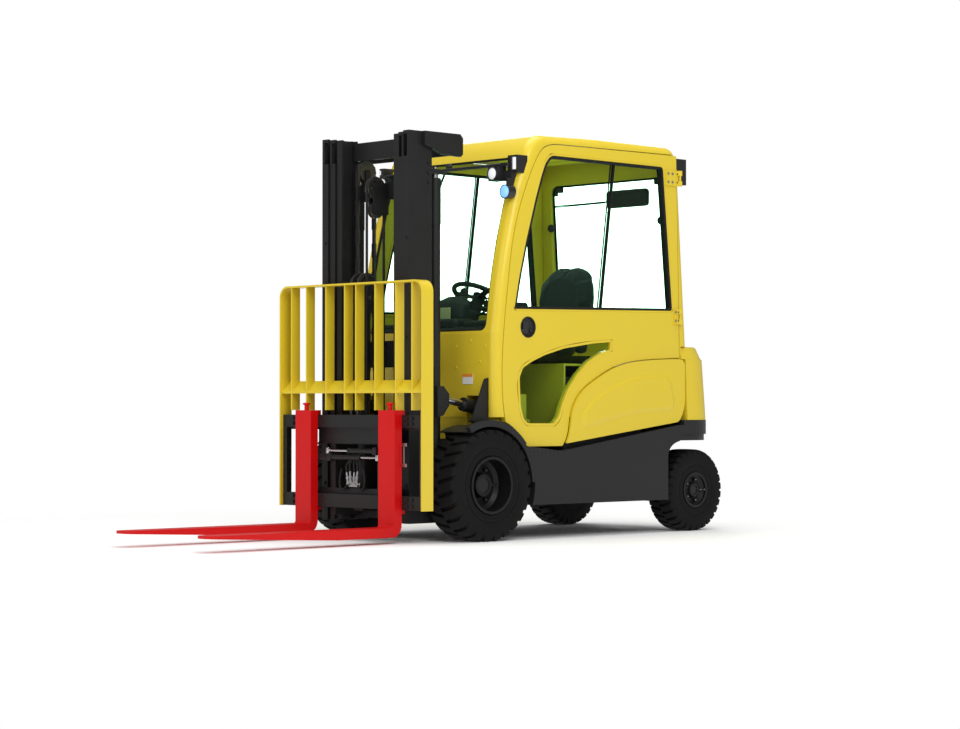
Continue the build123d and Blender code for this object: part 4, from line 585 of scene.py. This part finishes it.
def stepped(outline, inward):
    # a closed outline drawn in by a distance, along the mean normal at each point
    ahead = np.roll(outline, -1, axis=0) - outline
    ahead /= np.linalg.norm(ahead, axis=1)[:, None]
    normal = np.stack([-ahead[:, 1], ahead[:, 0]], axis=1)
    mean = normal + np.roll(normal, 1, axis=0)
    mean /= np.linalg.norm(mean, axis=1)[:, None]
    spread = np.maximum((mean * normal).sum(axis=1), 0.5)[:, None]
    turn = np.sign(np.sum(outline[:, 0] * np.roll(outline[:, 1], -1) - np.roll(outline[:, 0], -1) * outline[:, 1]))
    return outline + turn * mean / spread * inward


def doorRing(outline, outer, inner, xLow, xHigh, bevel=1.0):
    # a flat ring between two insets of an outline, with small bevels on its outer face
    rows = ((outer, xLow), (outer, xHigh - bevel), (outer + bevel, xHigh), (inner - bevel, xHigh),
            (inner, xHigh - bevel), (inner, xLow))
    walls = []
    for inset, x in rows:
        flat = stepped(outline, inset)
        walls.append(np.column_stack([np.full(len(flat), x), flat]))
    return surface(here(walls), wrapRows=True, wrapCols=True)


# Door trim: a painted rebate and a black seal round the panes, the sliding panes' rail, and the handle's cup
doorTrim = {"inner": 508.0, "rebate": 10.0, "seal": 24.0, "lowSeal": 14.4, "handle": (299, 1111),
            "divider": ((841, 1206), (953, 2034)), "dividerWidth": 26.0}


def tiltedBar(y0, y1, xLow, xHigh):
    # an upright bar that leans with the divider, from y0 to y1 beyond its front edge
    (lowY, lowZ), (highY, highZ) = doorTrim["divider"]
    z = np.linspace(lowZ + 14, highZ - 12, 12)
    y = lowY + (highY - lowY) * (z - lowZ) / (highZ - lowZ)
    ring = [(y0, xLow), (y1, xLow), (y1, xHigh), (y0, xHigh)]
    grid = np.stack([np.stack([np.full(12, x), y + dy, z], axis=1) for dy, x in ring], axis=1)
    return surface(here(grid), wrapCols=True, capped=True)


handleY, handleZ = doorTrim["handle"]
pullPath = [(509, 330, 1090), (486, 336, 1086), (482, 420, 1076), (486, 520, 1066), (509, 526, 1064)]
handle = joined(
    lathe([(0.1, 0), (40, 0), (47, 3), (50, 13), (51, 18.6), (55, 19.2), (55.6, 17), (55, 2), (53, -1), (0.1, -1)],
          (529.0, handleY, handleZ), (1, 0, 0), 48),
    roundedBox((532, handleY - 34, handleZ - 36), (545, handleY + 4, handleZ + 36), 6, 4),
    lathe([(0.1, 0), (8, 0), (8, 3), (6, 4), (0.1, 4)], (540, handleY + 26, handleZ - 18), (1, 0, 0), 20),
    tube(smoothed(pullPath, 24), 8, 10),
    roundedBox((500, 318, 1076), (510, 346, 1102), 4),
    roundedBox((500, 512, 1052), (510, 540, 1078), 4),
)
sides = (("left", 1), ("right", -1))
railEnd = doorTrim["dividerWidth"]
for side, sign in sides:
    rings = {
        "doorRebate": ("bodyYellow", joined(
            doorRing(doorWindow, 0.3, doorTrim["rebate"], doorTrim["inner"], 545.0),
            doorRing(lowerPane, 0.3, doorTrim["lowSeal"], doorTrim["inner"], 544.0))),
        "doorSeal": ("gasketRubber", joined(
            doorRing(doorWindow, doorTrim["rebate"], doorTrim["seal"], doorTrim["inner"], 545.6, 2.0),
            tiltedBar(railEnd - 7.0, railEnd, 520.0, 540.0), tiltedBar(0.0, 3.0, 524.0, 533.0))),
        "doorHandle": ("trimBlack", handle),
        "doorPaneEdge": ("sideGlass", tiltedBar(3.2, railEnd - 7.2, 526.0, 530.0)),
    }
    for ringName, (finish, ring) in rings.items():
        piece(ringName + "_" + side, ring if sign > 0 else mirroredX(ring), finish, "door_" + side,
              replaces=("door_trim_" + side,))
print("gaskets done")

# Rear window: wiper motor cover, arm with its blade, hinge blocks and knobs
rearFittings = {"cover": (45, 352, 1825, 1926), "hinge": (370, 400, 1946, 1978), "knob": (430, 1739)}
x0, x1, z0, z1 = rearFittings["cover"]
yCover = rearY(1875) - 60
cover = roundedBox((x0, yCover - 30, z0), (x1, yCover + 22, z1), 20)
x0, x1, z0, z1 = rearFittings["hinge"]
hingeY = rearY(z0 + 15)
knobX, knobZ = rearFittings["knob"]
fixings = bothSides(roundedBox((x0, hingeY - 30, z0), (x1, hingeY + 12, z1), 6),
                    lathe([(0.1, 0), (9, 0), (9, 18), (22, 20), (24, 30), (20, 38), (0.1, 38)],
                          (knobX, rearY(knobZ) - 22, knobZ), (0, -1, 0), 20))
piece("rearWindowFittings", joined(cover, fixings), "trimBlack")


def alongRear(points, steps):
    # a smooth path of x, z and distance outside the rear window
    return smoothed([(x, rearY(z) + out, z) for x, z, out in points], steps)


armPath = alongRear([(60, 1876, 6), (-150, 1874, 14), (-300, 1873, 12), (-440, 1872, 6)], 30)
bladePath = alongRear([(-40, 1868, 7), (-240, 1866, 7), (-440, 1864, 7)], 20)
piece("rearWiper", joined(tube(armPath, 4.5, 8), tube(bladePath, 5, 8, flat=0.5),
                          lathe([(0.1, 0), (16, 0), (15, 12), (8, 18), (0.1, 18)],
                                (60, rearY(1876) - 2, 1876), (0, 1, 0), 20)),
      "trimBlack")

# Front wiper: pivot at the header, arm and blade down the glass; each has its top x, its lean and its ends in z
frontWiper = {"arm": (-30, 0.10, 1990, 1180), "blade": (-74, 0.08, 1640, 1130), "bow": 10}
x, lean, top, foot = frontWiper["arm"]
armZ = np.linspace(top, foot, 40)
bow = frontWiper["bow"] * np.sin(np.linspace(0, math.pi, 40))
wiperArm = np.stack([x - lean * (top - armZ), frontY(armZ) - 14 - bow, armZ], axis=1)
wiperPivot = lathe([(0.1, 0), (20, 0), (18, 16), (10, 22), (0.1, 22)], (x, frontY(top) + 2, top), (0, -1, 0), 20)
x, lean, top, foot = frontWiper["blade"]
bladeZ = np.linspace(top, foot, 30)
wiperBlade = np.stack([x - lean * (top - bladeZ), frontY(bladeZ) - 3, bladeZ], axis=1)
piece("frontWiper", joined(tube(wiperArm, np.linspace(7, 4, 40), 8), tube(wiperBlade, 5, 8, flat=0.6), wiperPivot),
      "trimBlack")


def frontSheet(x0, x1, z0, z1, y, thickness, bevel=0.6):
    # a thin rectangle that faces forwards
    return sheetOf([(x0, y, z0), (x1, y, z0), (x1, y, z1), (x0, y, z1)], (0, -1, 0), thickness, bevel)


# Lamps: lenses with their bezels
lampPlaces = {"work": (432, 150, 1914), "spot": (524, 150, 1815), "corner": (508, 534, 1936, 2000, 221.5),
              "tail": (480, 520, 1566, 1577)}
spot = lampPlaces["spot"]
x, y, z = lampPlaces["work"]
workLens = lathe([(0.1, -2), (31, -2), (31, 3), (27, 6), (15, 9), (0.1, 10)], (x, y, z), (0, -1, 0), 36)
workBezel = lathe([(31, 0), (37, 0), (37, 8), (33, 10), (31, 6)], (x, y + 1, z), (0, -1, 0), 36, ring=True)
spotBezel = lathe([(31, -10), (38, -10), (38, 4), (34, 6), (31, 2)], spot, (0, -1, 0), 36, ring=True)
piece("frontLenses", bothSides(workLens, frontSheet(*lampPlaces["corner"], 4, 1.5)), "whiteLens")
piece("lampBezels", joined(bothSides(workBezel), spotBezel), "lampBlack")
piece("spotLens", lathe([(0.1, -1), (33, -1), (33, 3), (26, 9), (12, 13), (0.1, 14)], spot, (0, -1, 0), 36),
      "blueLens")
x0, x1, y0, y1 = lampPlaces["tail"]
for lensName, finish, low, high in (("tailRed", "redLens", 1944, 1984), ("tailAmber", "amberLens", 1990, 2030),
                                    ("tailWhite", "whiteLens", 2036, 2070)):
    piece(lensName, bothSides(roundedBox((x0, y0, low), (x1, y1, high), 6)), finish)
print("lamps done")

# Doors: lock barrel and hinge bolts
hingeBolts = [(553, y, z) for z in (1172, 1220) for y in (1456, 1473)]
hingeBolts += [(553, y, z) for z in (1943, 1990) for y in (1396, 1430, 1466)]
fastenings = joined(
    lathe([(0.1, 0), (11, 0), (11, 4), (9, 6), (0.1, 6)], (536, handleY - 24, handleZ - 18), (1, 0, 0), 24),
    bolts((1, 0, 0), 6, 5, hingeBolts),
)
for side, sign in sides:
    piece("doorFastenings_" + side, fastenings if sign > 0 else mirroredX(fastenings), "zincSteel", "door_" + side)

# Body: blank plate, the skirt's holes as black discs of painted shade, panel swells
plateSize = {"x": (300, 378), "z": (812, 866), "y": 59, "stripe": 16}
plateTop = plateSize["z"][1]
piece("cowlPlate", frontSheet(*plateSize["x"], *plateSize["z"], plateSize["y"], 1.6), "plainPlate")
piece("cowlPlateStripe", frontSheet(*plateSize["x"], plateTop - plateSize["stripe"], plateTop,
                                    plateSize["y"] - 1.7, 0.8), "plateOrange")
# the skirt's holes are not cut: black discs on the panel stand for them, painted shade of their dark insides
holeShadeDiscs = scatter(lathe([(0.1, 0), (5, 0), (6.5, 1), (6.5, 2.2), (0.1, 2.2)], (0, 0, 0), (1, 0, 0), 12),
                [(574.6, y, z) for y, z in zip(np.linspace(262, 505, 9), np.linspace(472, 448, 9))])
piece("skirtHoleShade", bothSides(holeShadeDiscs), "trimBlack")
swellShape = {"spine": ((660, 600), (860, 690), (1100, 755), (1300, 770), (1440, 770)), "half": 108, "lean": 0.25,
              "shoulder": 26.0, "x": 559.0, "rise": 6.5}


def panelSwell():
    # a raised teardrop: height rises over a short shoulder from its outline and is flat inside
    u = np.linspace(0, 1, 60)[:, None]
    v = np.linspace(-1, 1, 30)[None]
    spine = smoothed(swellShape["spine"], 60)
    nose = np.sqrt(np.clip(1 - (1 - np.clip(u / 0.75, 0, 1)) ** 2.2, 0, 1))
    tail = np.sqrt(np.clip(1 - np.clip((u - 0.8) / 0.2, 0, 1) ** 2.6, 0, 1))
    half = swellShape["half"] * nose * tail + 0.5
    y = spine[:, :1] - swellShape["lean"] * half * v
    z = spine[:, 1:] + half * v
    edge = np.minimum(1 - np.abs(v), np.minimum(u, 1 - u) * 5) * half / swellShape["shoulder"]
    rise = np.clip(edge, 0, 1)
    x = swellShape["x"] + swellShape["rise"] * (3 * rise**2 - 2 * rise**3)
    return surface(here(np.stack([x, y, z], axis=-1)))


piece("panelSwells", bothSides(panelSwell()), "bodyYellow")
print("body details done")


# Tyres: two staggered rows of skewed lugs that wrap the shoulders, beaded sidewalls
# each tread row: share of half width, share of the height from the rim, depth of the groove, its slant
treadRows = [
    (0.004, 1.000, 1.0, 0.0), (0.10, 1.000, 1.0, 0.0), (0.35, 0.999, 1.0, 0.0), (0.62, 0.995, 1.0, 0.0),
    (0.80, 0.988, 1.0, 0.05), (0.875, 0.972, 0.95, 0.3), (0.925, 0.940, 0.85, 0.6), (0.955, 0.885, 0.62, 0.9),
    (0.975, 0.800, 0.34, 1.0),
]
sidewallRows = [
    (0.990, 0.715), (1.000, 0.620), (1.000, 0.520), (0.988, 0.430), (0.965, 0.345), (0.962, 0.330), (0.940, 0.322),
    (0.936, 0.300), (0.955, 0.290), (0.955, 0.170), (0.935, 0.160), (0.930, 0.060), (0.880, 0.004),
]
tyreProfile = np.array(treadRows + [(*row, 0.0, 1.0) for row in sidewallRows])
tyreSizes = {
    "front": {"radius": 289.0, "width": 225.0, "rim": 148.4, "lugs": 25, "depth": 17.0, "x": 476.5, "y": 0.0,
              "disc": 476.5, "nutCircle": 88, "nuts": 6},
    "rear": {"radius": 228.0, "width": 170.0, "rim": 99.4, "lugs": 29, "depth": 13.0, "x": 481.0, "y": 1611.0,
             "disc": 531, "nutCircle": 60, "nuts": 5},
}
grooveShape = {"top": 0.34, "foot": 0.20, "skew": 0.42, "slope": 0.75}


def tyreMesh(size, sign):
    # a ring of profiles: the groove's mask follows the angle, with each row's phase and a skew outwards
    half = size["width"] / 2
    pitch = 2 * math.pi / size["lugs"]
    outer, foot = grooveShape["top"] / 2, grooveShape["foot"] / 2
    marks = [-outer, -foot, foot, outer, 0.33, 0.5 - outer, 0.5 - foot, 0.5 + foot, 0.5 + outer, 0.67]
    share = (np.arange(size["lugs"])[:, None] + np.sort(marks)[None]).ravel()
    profile = np.vstack([tyreProfile[::-1] * (-1, 1, 1, 1), tyreProfile])
    across, level, depth, slant = profile.T
    phase = np.where(across > 0, 0.0, 0.5)[:, None]
    local = np.mod(share[None] - phase + 0.5, 1.0) - 0.5
    mask = np.clip((outer - np.abs(local)) / (outer - foot), 0, 1)
    angle = pitch * (share[None] + grooveShape["skew"] * np.abs(across)[:, None] ** 1.3)
    cut = size["depth"] * depth[:, None] * mask
    slope = grooveShape["slope"] * slant[:, None]
    radius = size["rim"] + (size["radius"] - size["rim"]) * level[:, None] - cut * (1 - slope)
    x = sign * size["x"] + half * across[:, None] - np.sign(across)[:, None] * cut * slope
    grid = np.stack([x, size["y"] + radius * np.sin(angle), size["radius"] + radius * np.cos(angle)], axis=-1)
    return surface(here(grid), wrapRows=True, wrapCols=True)


for which, size in tyreSizes.items():
    for side, sign in sides:
        place = which + "_" + side
        piece("tyreTread_" + place, tyreMesh(size, sign), "tyreRubber", "wheel_" + place,
              replaces=("tyre_" + place,), sharp=24.0)
print("tyres done")

# Wheel hubs: stud ends and valve stems
for which, size in tyreSizes.items():
    disc, pitch, y, z = size["disc"], size["nutCircle"], size["y"], size["radius"]
    for side, sign in sides:
        stud = lathe([(0.1, 0), (4.2, 0), (4.2, 17), (3.2, 18.5), (0.1, 18.5)], (0, 0, 0), (sign, 0, 0), 12)
        studs = scatter(stud, [(sign * disc, y + pitch * math.cos(turn), z + pitch * math.sin(turn))
                               for turn in fullTurn(size["nuts"])])
        valve = tube([(sign * (disc + reach), y + pitch * share, z)
                      for reach, share in ((2, 1.28), (18, 1.30), (30, 1.33))], 3.4, 10)
        place = which + "_" + side
        piece("wheelStuds_" + place, joined(studs, valve), "zincSteel", "wheel_" + place)
print("hubs done")

# Fork latches: a domed knob on each pin
latch = {"x": 329, "y": -477.5, "z": 700}
for side, sign in sides:
    knob = lathe([(0.1, -14), (9, -14), (9, -2), (11, 2), (20, 6), (22, 11), (19, 14), (0.1, 16)],
                 (sign * latch["x"], latch["y"], latch["z"]), (0, 0, 1), 28)
    piece("forkKnob_" + side, knob, "forkRed", "fork_" + side)
print("fork latches done")

# Sideshift rams across the carriage, with their glands, clamps and rod eyes
ramSizes = {"y": -440, "radius": 13, "rod": 7, "gland": 9, "chamfer": 1.5}
ramRows = (
    {"z": 465, "barrel": (-25, 187), "rodEnd": -192, "clamp": (165, 195), "eye": -195},
    {"z": 431, "barrel": (-267, 51), "rodEnd": 190, "clamp": (-195, -165), "eye": 195},
)


def barAlong(x0, x1, z, radius):
    # a round bar along X with chamfered ends
    low, high = min(x0, x1), max(x0, x1)
    length, chamfer = high - low, ramSizes["chamfer"]
    return lathe([(0.1, 0), (radius - chamfer, 0), (radius, chamfer), (radius, length - chamfer),
                  (radius - chamfer, length), (0.1, length)], (low, ramSizes["y"], z), (1, 0, 0), 24)


barrels, rods = [], []
for row in ramRows:
    z, (low, high), (clampLow, clampHigh) = row["z"], row["barrel"], row["clamp"]
    end = low if abs(row["rodEnd"] - low) < abs(row["rodEnd"] - high) else high
    barrels += [barAlong(low, high, z, ramSizes["radius"]),
                barAlong(end - ramSizes["gland"], end + ramSizes["gland"], z, ramSizes["radius"] + 2.5),
                roundedBox((clampLow, -456, z - 20), (clampHigh, -419, z + 20), 4)]
    rods += [barAlong(end, row["rodEnd"], z, ramSizes["rod"]),
             roundedBox((row["eye"] - 11, -452, z - 17), (row["eye"] + 11, -428, z + 17), 5)]
piece("sideshiftBarrels", joined(*barrels), "mastGrey", "carriage")
piece("sideshiftRods", joined(*rods), "brightSteel", "sideshift")

# Hydraulic hoses and fittings between the roller plates
fittings, hoseRuns = [], []
for k, x in enumerate((-46, -24, -2, 20)):
    fan, y, z = k - 1.5, -432 - 3 * (k % 2), 360 + 6 * (k % 2)
    lean, topX = (0.12 * fan, 0, 1), x + 7.5 * fan
    fittings += [lathe([(0.1, 0), (9, 0), (9, 12), (7, 13), (7, 26), (8.5, 27), (8.5, 40), (6.5, 42), (0.1, 42)],
                       (x, y, z - 70), lean, 6),
                 lathe([(0.1, 0), (6.2, 0), (6.2, 24), (0.1, 24)], (x + 5 * fan, y, z - 30), lean, 16)]
    hoseRuns.append(tube(smoothed([(topX, y, z - 8), (topX, y - 2, z + 26), (0.6 * topX + 4, -436, z + 58),
                                   (0.5 * topX + 6, -428, z + 96)], 24), 6.2, 12))
crossRun = ((44, -434, 286), (64, -436, 262), (92, -436, 274), (98, -434, 320), (84, -432, 372))
for sign in (1, -1):
    hoseRuns.append(tube(smoothed([(-13 + sign * x, y, z) for x, y, z in crossRun], 32), 5.5, 12))
fittings.append(roundedBox((-64, -428, 276), (38, -414, 300), 3))
piece("hydraulicFittings", joined(*fittings), "zincSteel", "carriage")
piece("carriageHoses", joined(*hoseRuns), "hoseRubber", "carriage")
print("carriage hydraulics done")

# Seat: cushion and back as sewn pads, swelled by a short cloth simulation
seatSizes = {"voxel": 0.006, "frames": 20, "pressure": 4.0, "cap": 0.024}


def padMesh(rings):
    # stacked closed rings of points in millimetres, closed at both ends
    grid = np.array(rings, float)
    verts, faces = surface(here(grid), wrapCols=True)
    rows, cols = grid.shape[:2]
    verts = np.vstack([verts, here(grid[0].mean(axis=0)), here(grid[-1].mean(axis=0))])
    faces += [[(j + 1) % cols, j, rows * cols] for j in range(cols)]
    faces += [[(rows - 1) * cols + j, (rows - 1) * cols + (j + 1) % cols, rows * cols + 1] for j in range(cols)]
    return verts, faces


def superOval(halfX, halfY, power, count=64):
    flat = np.column_stack([np.cos(fullTurn(count)), np.sin(fullTurn(count))])
    return (halfX, halfY) * np.sign(flat) * np.abs(flat) ** (2 / power)


# each of the cushion's rings: its height and its growth past the half width and depth
cushionShape = {"half": (232, 168), "y": 882, "crown": 1050, "bolster": 9.0, "rings": (
    (978, -16), (984, -7), (1000, -2), (1020, 0), (1034, -3), (1040, -9), (1048, -4), (1056, -14), (1062, -34),
    (1064, -70), (1062, -130))}
backShape = {"spine": ((1112, 990), (1126, 1080), (1150, 1200), (1166, 1320), (1178, 1420), (1184, 1490)),
             "half": (215, 46), "wing": 16.0, "wingTop": 1420, "rake": 0.16}


def cushionRings():
    # flat under the pan, drawn in at the seam, crowned on top with low side bolsters
    halfX, halfY = cushionShape["half"]
    rings = []
    for z, grow in cushionShape["rings"]:
        x, y = superOval(halfX + grow, halfY + grow, 5.0).T
        bolster = cushionShape["bolster"] * np.clip((np.abs(x) - 120) / 90.0, 0, 1) * (z > cushionShape["crown"])
        rings.append(np.stack([x, cushionShape["y"] + y, z + bolster], axis=1))
    return rings


def backRings():
    # rings square to the back's rake, wide at the lumbar and round at the top
    spine = smoothed(backShape["spine"], 26)
    share = np.linspace(0, 1, 26)
    halfX, halfY = backShape["half"]
    topX = np.sqrt(np.clip(1 - np.clip((share - 0.50) / 0.53, 0, 1) ** 2.4, 0.02, 1))
    topY = np.sqrt(np.clip(1 - np.clip((share - 0.72) / 0.30, 0, 1) ** 2.2, 0.05, 1))
    width = halfX * topX * (0.94 + 0.06 * np.sin(share * math.pi))
    depth = halfY * topY * (1 - 0.12 * (1 - share))
    rings = []
    for (y, z), w, d in zip(spine, width, depth):
        ovalX, ovalY = superOval(w, d, 3.2).T
        fade = 1 if z < backShape["wingTop"] else 0.4
        wing = backShape["wing"] * np.clip((np.abs(ovalX) - 0.55 * w) / (0.45 * w), 0, 1) * fade
        rings.append(np.stack([ovalX, y + ovalY - wing, z + backShape["rake"] * ovalY], axis=1))
    return rings


def settled(obj):
    # a new mesh of the object as its modifiers leave it
    return bpy.data.meshes.new_from_object(obj.evaluated_get(bpy.context.evaluated_depsgraph_get()))


def coordinates(mesh):
    flat = np.zeros(3 * len(mesh.vertices))
    mesh.vertices.foreach_get("co", flat)
    return flat.reshape(-1, 3)


def swelled(obj):
    # voxel remesh, a pressure cloth run with its motion capped, then one subdivision
    remesh = obj.modifiers.new("remesh", "REMESH")
    remesh.mode = "VOXEL"
    remesh.voxel_size = seatSizes["voxel"]
    obj.data = settled(obj)
    obj.modifiers.clear()
    before = coordinates(obj.data)
    cloth = obj.modifiers.new("cloth", "CLOTH")
    cloth.settings.use_pressure = True
    cloth.settings.uniform_pressure_force = seatSizes["pressure"]
    cloth.settings.effector_weights.gravity = 0.0
    cloth.point_cache.frame_end = seatSizes["frames"]
    for frameNumber in range(1, seatSizes["frames"] + 1):
        bpy.context.scene.frame_set(frameNumber)
    puffed = settled(obj)
    move = coordinates(puffed) - before
    bpy.data.meshes.remove(puffed)
    length = np.linalg.norm(move, axis=1, keepdims=True)
    move *= np.minimum(1.0, seatSizes["cap"] / np.maximum(length, 1e-9))
    obj.modifiers.clear()
    obj.data.vertices.foreach_set("co", (before + move).ravel())
    bpy.context.scene.frame_set(1)


def softPad(name, rings, node):
    pad = piece(name, padMesh(rings), "seatCloth", replaces=(node,), sharp=180.0)
    swelled(pad)
    pad.data.polygons.foreach_set("use_smooth", np.ones(len(pad.data.polygons), bool))
    if not pad.data.materials:
        pad.data.materials.append(finishes["seatCloth"])
    smooth = pad.modifiers.new("smooth", "SUBSURF")
    smooth.levels = smooth.render_levels = 1
    return pad


cushion = softPad("seatCushion", cushionRings(), "seat_cushion")
back = softPad("seatBack", backRings(), "seat_back")
print("seat pads done")


# Seams: runs of piping laid on each pad where its panels meet
def seamOn(runs, radius):
    tubes = []
    for pad, points, aim in runs:
        evaluated = pad.evaluated_get(bpy.context.evaluated_depsgraph_get())
        aim = Vector(aim)
        casts = [evaluated.ray_cast(Vector(point) - aim * 0.4, aim) for point in here(smoothed(points, 40))]
        hits = [np.array(cast[1]) * 1000.0 - (0.0, axleY * 1000.0, 0.0) for cast in casts if cast[0]]
        if len(hits) > 6:
            tubes.append(tube(np.array(hits), radius, 6))
    return joined(*tubes)


bpy.context.view_layer.update()
seamRuns = []
for sign in (1, -1):
    seamRuns += [
        (back, [(sign * x, 1000, z) for x, z in ((150, 1030), (118, 1130), (122, 1280), (96, 1400), (40, 1446),
                                                 (0, 1452))], (0, 1, 0)),
        (cushion, [(sign * x, y, 1200) for x, y in ((118, 742), (124, 860), (118, 1030))], (0, 0, -1)),
        (back, [(sign * 700, y, z) for y, z in ((1150, 1060), (1132, 1180), (1172, 1330))], (-sign, 0, 0)),
        (back, [(sign * 700, y, z) for y, z in ((1196, 1050), (1148, 1170), (1120, 1300))], (-sign, 0, 0)),
    ]
seamRuns.append((cushion, [(-112, 770, 1200), (0, 764, 1200), (112, 770, 1200)], (0, 0, -1)))
piece("seatSeams", seamOn(seamRuns, 2.2), "seatVinyl")

# Armrest with its lever pod
armRest = {"pad": ((-352, 862, 1234), (-271, 1130, 1290)), "pod": ((-350, 832, 1242), (-273, 926, 1296)),
           "levers": (-340, -320, -300, -282), "leverStep": 4}
armPad = piece("armrestPad", roundedBox(*armRest["pad"], 20, 5), "seatVinyl", replaces=("seat_cushion",))
pod = [roundedBox(*armRest["pod"], 12, 4)]
for k, x in enumerate(armRest["levers"]):
    y = 858 - armRest["leverStep"] * k
    pod += [tube([(x, y, 1288), (x, y - 4, 1299), (x, y - 10, 1306)], 3.2, 10),
            roundedBox((x - 7, y - 20, 1301), (x + 7, y - 2, 1311), 4.5, 3)]
piece("leverPod", joined(*pod), "trimBlack")

# Dashboard: display screen, hoods and the stalks on the column
dashShape = {"screen": (-288, -182, 1118, 1204, 261.5), "hoods": (
    ((-150, 150, 1085), (150, 300, 1164), 26), ((180, 160, 1085), (430, 290, 1150), 24),
    ((-462, 160, 1085), (-330, 290, 1142), 20), ((-90, 255, 1110), (90, 395, 1215), 30)), "stalks": (
    ((100, 352, 1180), (170, 356, 1208), (232, 352, 1222)),
    ((-60, 352, 1190), (-130, 356, 1214), (-188, 352, 1226)))}
piece("displayScreen", frontSheet(*dashShape["screen"], 2.0), "labelTan")
hood = [roundedBox(low, high, radius, 5) for low, high, radius in dashShape["hoods"]]
hood += [tube(smoothed(stalk, 16), np.linspace(5, 8, 16), 10) for stalk in dashShape["stalks"]]
piece("dashHood", joined(*hood), "dashBlack")

# Instrument pod on the column: a hood whose spine has z and y pairs, with a tan screen towards the glass
podShape = {"spine": ((1120, 268), (1160, 262), (1215, 262), (1262, 280), (1290, 312)), "x": -10.0,
            "screen": ((-70, 200, 1150), (52, 209, 1226))}
podSpine = smoothed(podShape["spine"], 20)
podWidth = np.interp(podSpine[:, 0], (1120, 1160, 1240, 1290), (120, 138, 122, 60))
podDepth = np.interp(podSpine[:, 0], (1120, 1180, 1260, 1290), (52, 58, 44, 16))
podRings = []
for (z, y), w, d in zip(podSpine, podWidth, podDepth):
    podRings.append(np.column_stack([superOval(w, d, 3.6, 40) + (podShape["x"], y), np.full(40, z)]))
piece("instrumentPod", padMesh(podRings), "dashBlack")
piece("podScreen", roundedBox(*podShape["screen"], 4), "labelTan")

# Steering wheel's spinner knob and hub cap
wheelTop = {"tilt": 28, "knob": (-138, 470, 1290), "hub": (0, 470, 1290)}
wheelTilt = math.radians(wheelTop["tilt"])
columnAxis = np.array([0, math.sin(wheelTilt), math.cos(wheelTilt)])
knobAt = wheelTop["knob"] + 12 * columnAxis
hubAt = wheelTop["hub"] + 4 * columnAxis
piece("steeringKnob", joined(
    lathe([(0.1, -4), (9, -4), (9, 10), (20, 14), (24, 26), (22, 38), (14, 45), (0.1, 47)], knobAt, columnAxis, 28),
    lathe([(0.1, 0), (38, 0), (40, 6), (34, 12), (12, 15), (0.1, 15)], hubAt, columnAxis, 36)),
      "trimBlack", "steering_wheel")
print("cab inside done")

# Fender gussets, bolts on the mast, carriage and cowl, and the latch strips beside the carriage
boltPlaces = {
    "mastX": 342.5, "mastLarge": ((-240, 470), (-240, 540), (-240, 610), (-330, 1180)),
    "mastSmall": ((-222, 1850), (-222, 1900), (-222, 1950)), "mastFront": (210, 290, 1050, 1560),
    "cowl": ((250, 1010), (470, 1010), (360, 1040), (250, 900), (430, 930), (-250, 1010), (-470, 1010),
             (-360, 1040), (-250, 900)),
}
gusset = [(59.5, 845), (59.5, 610), (-62, 610), (-62, 628), (30, 838)]
for side, sign in sides:
    plate = sheetOf([(sign * 489, y, z) for y, z in gusset[::sign]], (sign, 0, 0), 6)
    foot = roundedBox((sign * 478, -70, 616), (sign * 530, 58, 626), 2)
    piece("fenderGusset_" + side, joined(plate, foot), "mastGrey", "chassis")
x = boltPlaces["mastX"]
piece("mastBolts", bothSides(
    bolts((1, 0, 0), 9, 8, [(x, y, z) for y, z in boltPlaces["mastLarge"]]),
    bolts((1, 0, 0), 7, 6, [(x, y, z) for y, z in boltPlaces["mastSmall"]]),
    bolts((0, -1, 0), 7, 6, [(318, -360.5, z) for z in boltPlaces["mastFront"]])), "mastGrey", "mast_outer")
plateBolts = bolts((0, -1, 0), 9, 8, [(x, -453.5, z) for x in (430, 468) for z in (190, 222, 606, 634)])
piece("carriageBolts", bothSides(plateBolts), "mastGrey", "sideshift")
piece("cowlBolts", bolts((0, -1, 0), 6, 4, [(x, 59.8, z) for x, z in boltPlaces["cowl"]]), "bodyYellow")
strips = [roundedBox((404, -458, 392), (414, -454, 506), 1.5), roundedBox((400, -460, 492), (432, -454, 510), 2),
          roundedBox((400, -460, 388), (432, -454, 406), 2), roundedBox((-414, -458, 392), (-404, -454, 506), 1.5)]
piece("latchStrip", joined(*strips), "zincSteel", "sideshift")
print("small parts done")
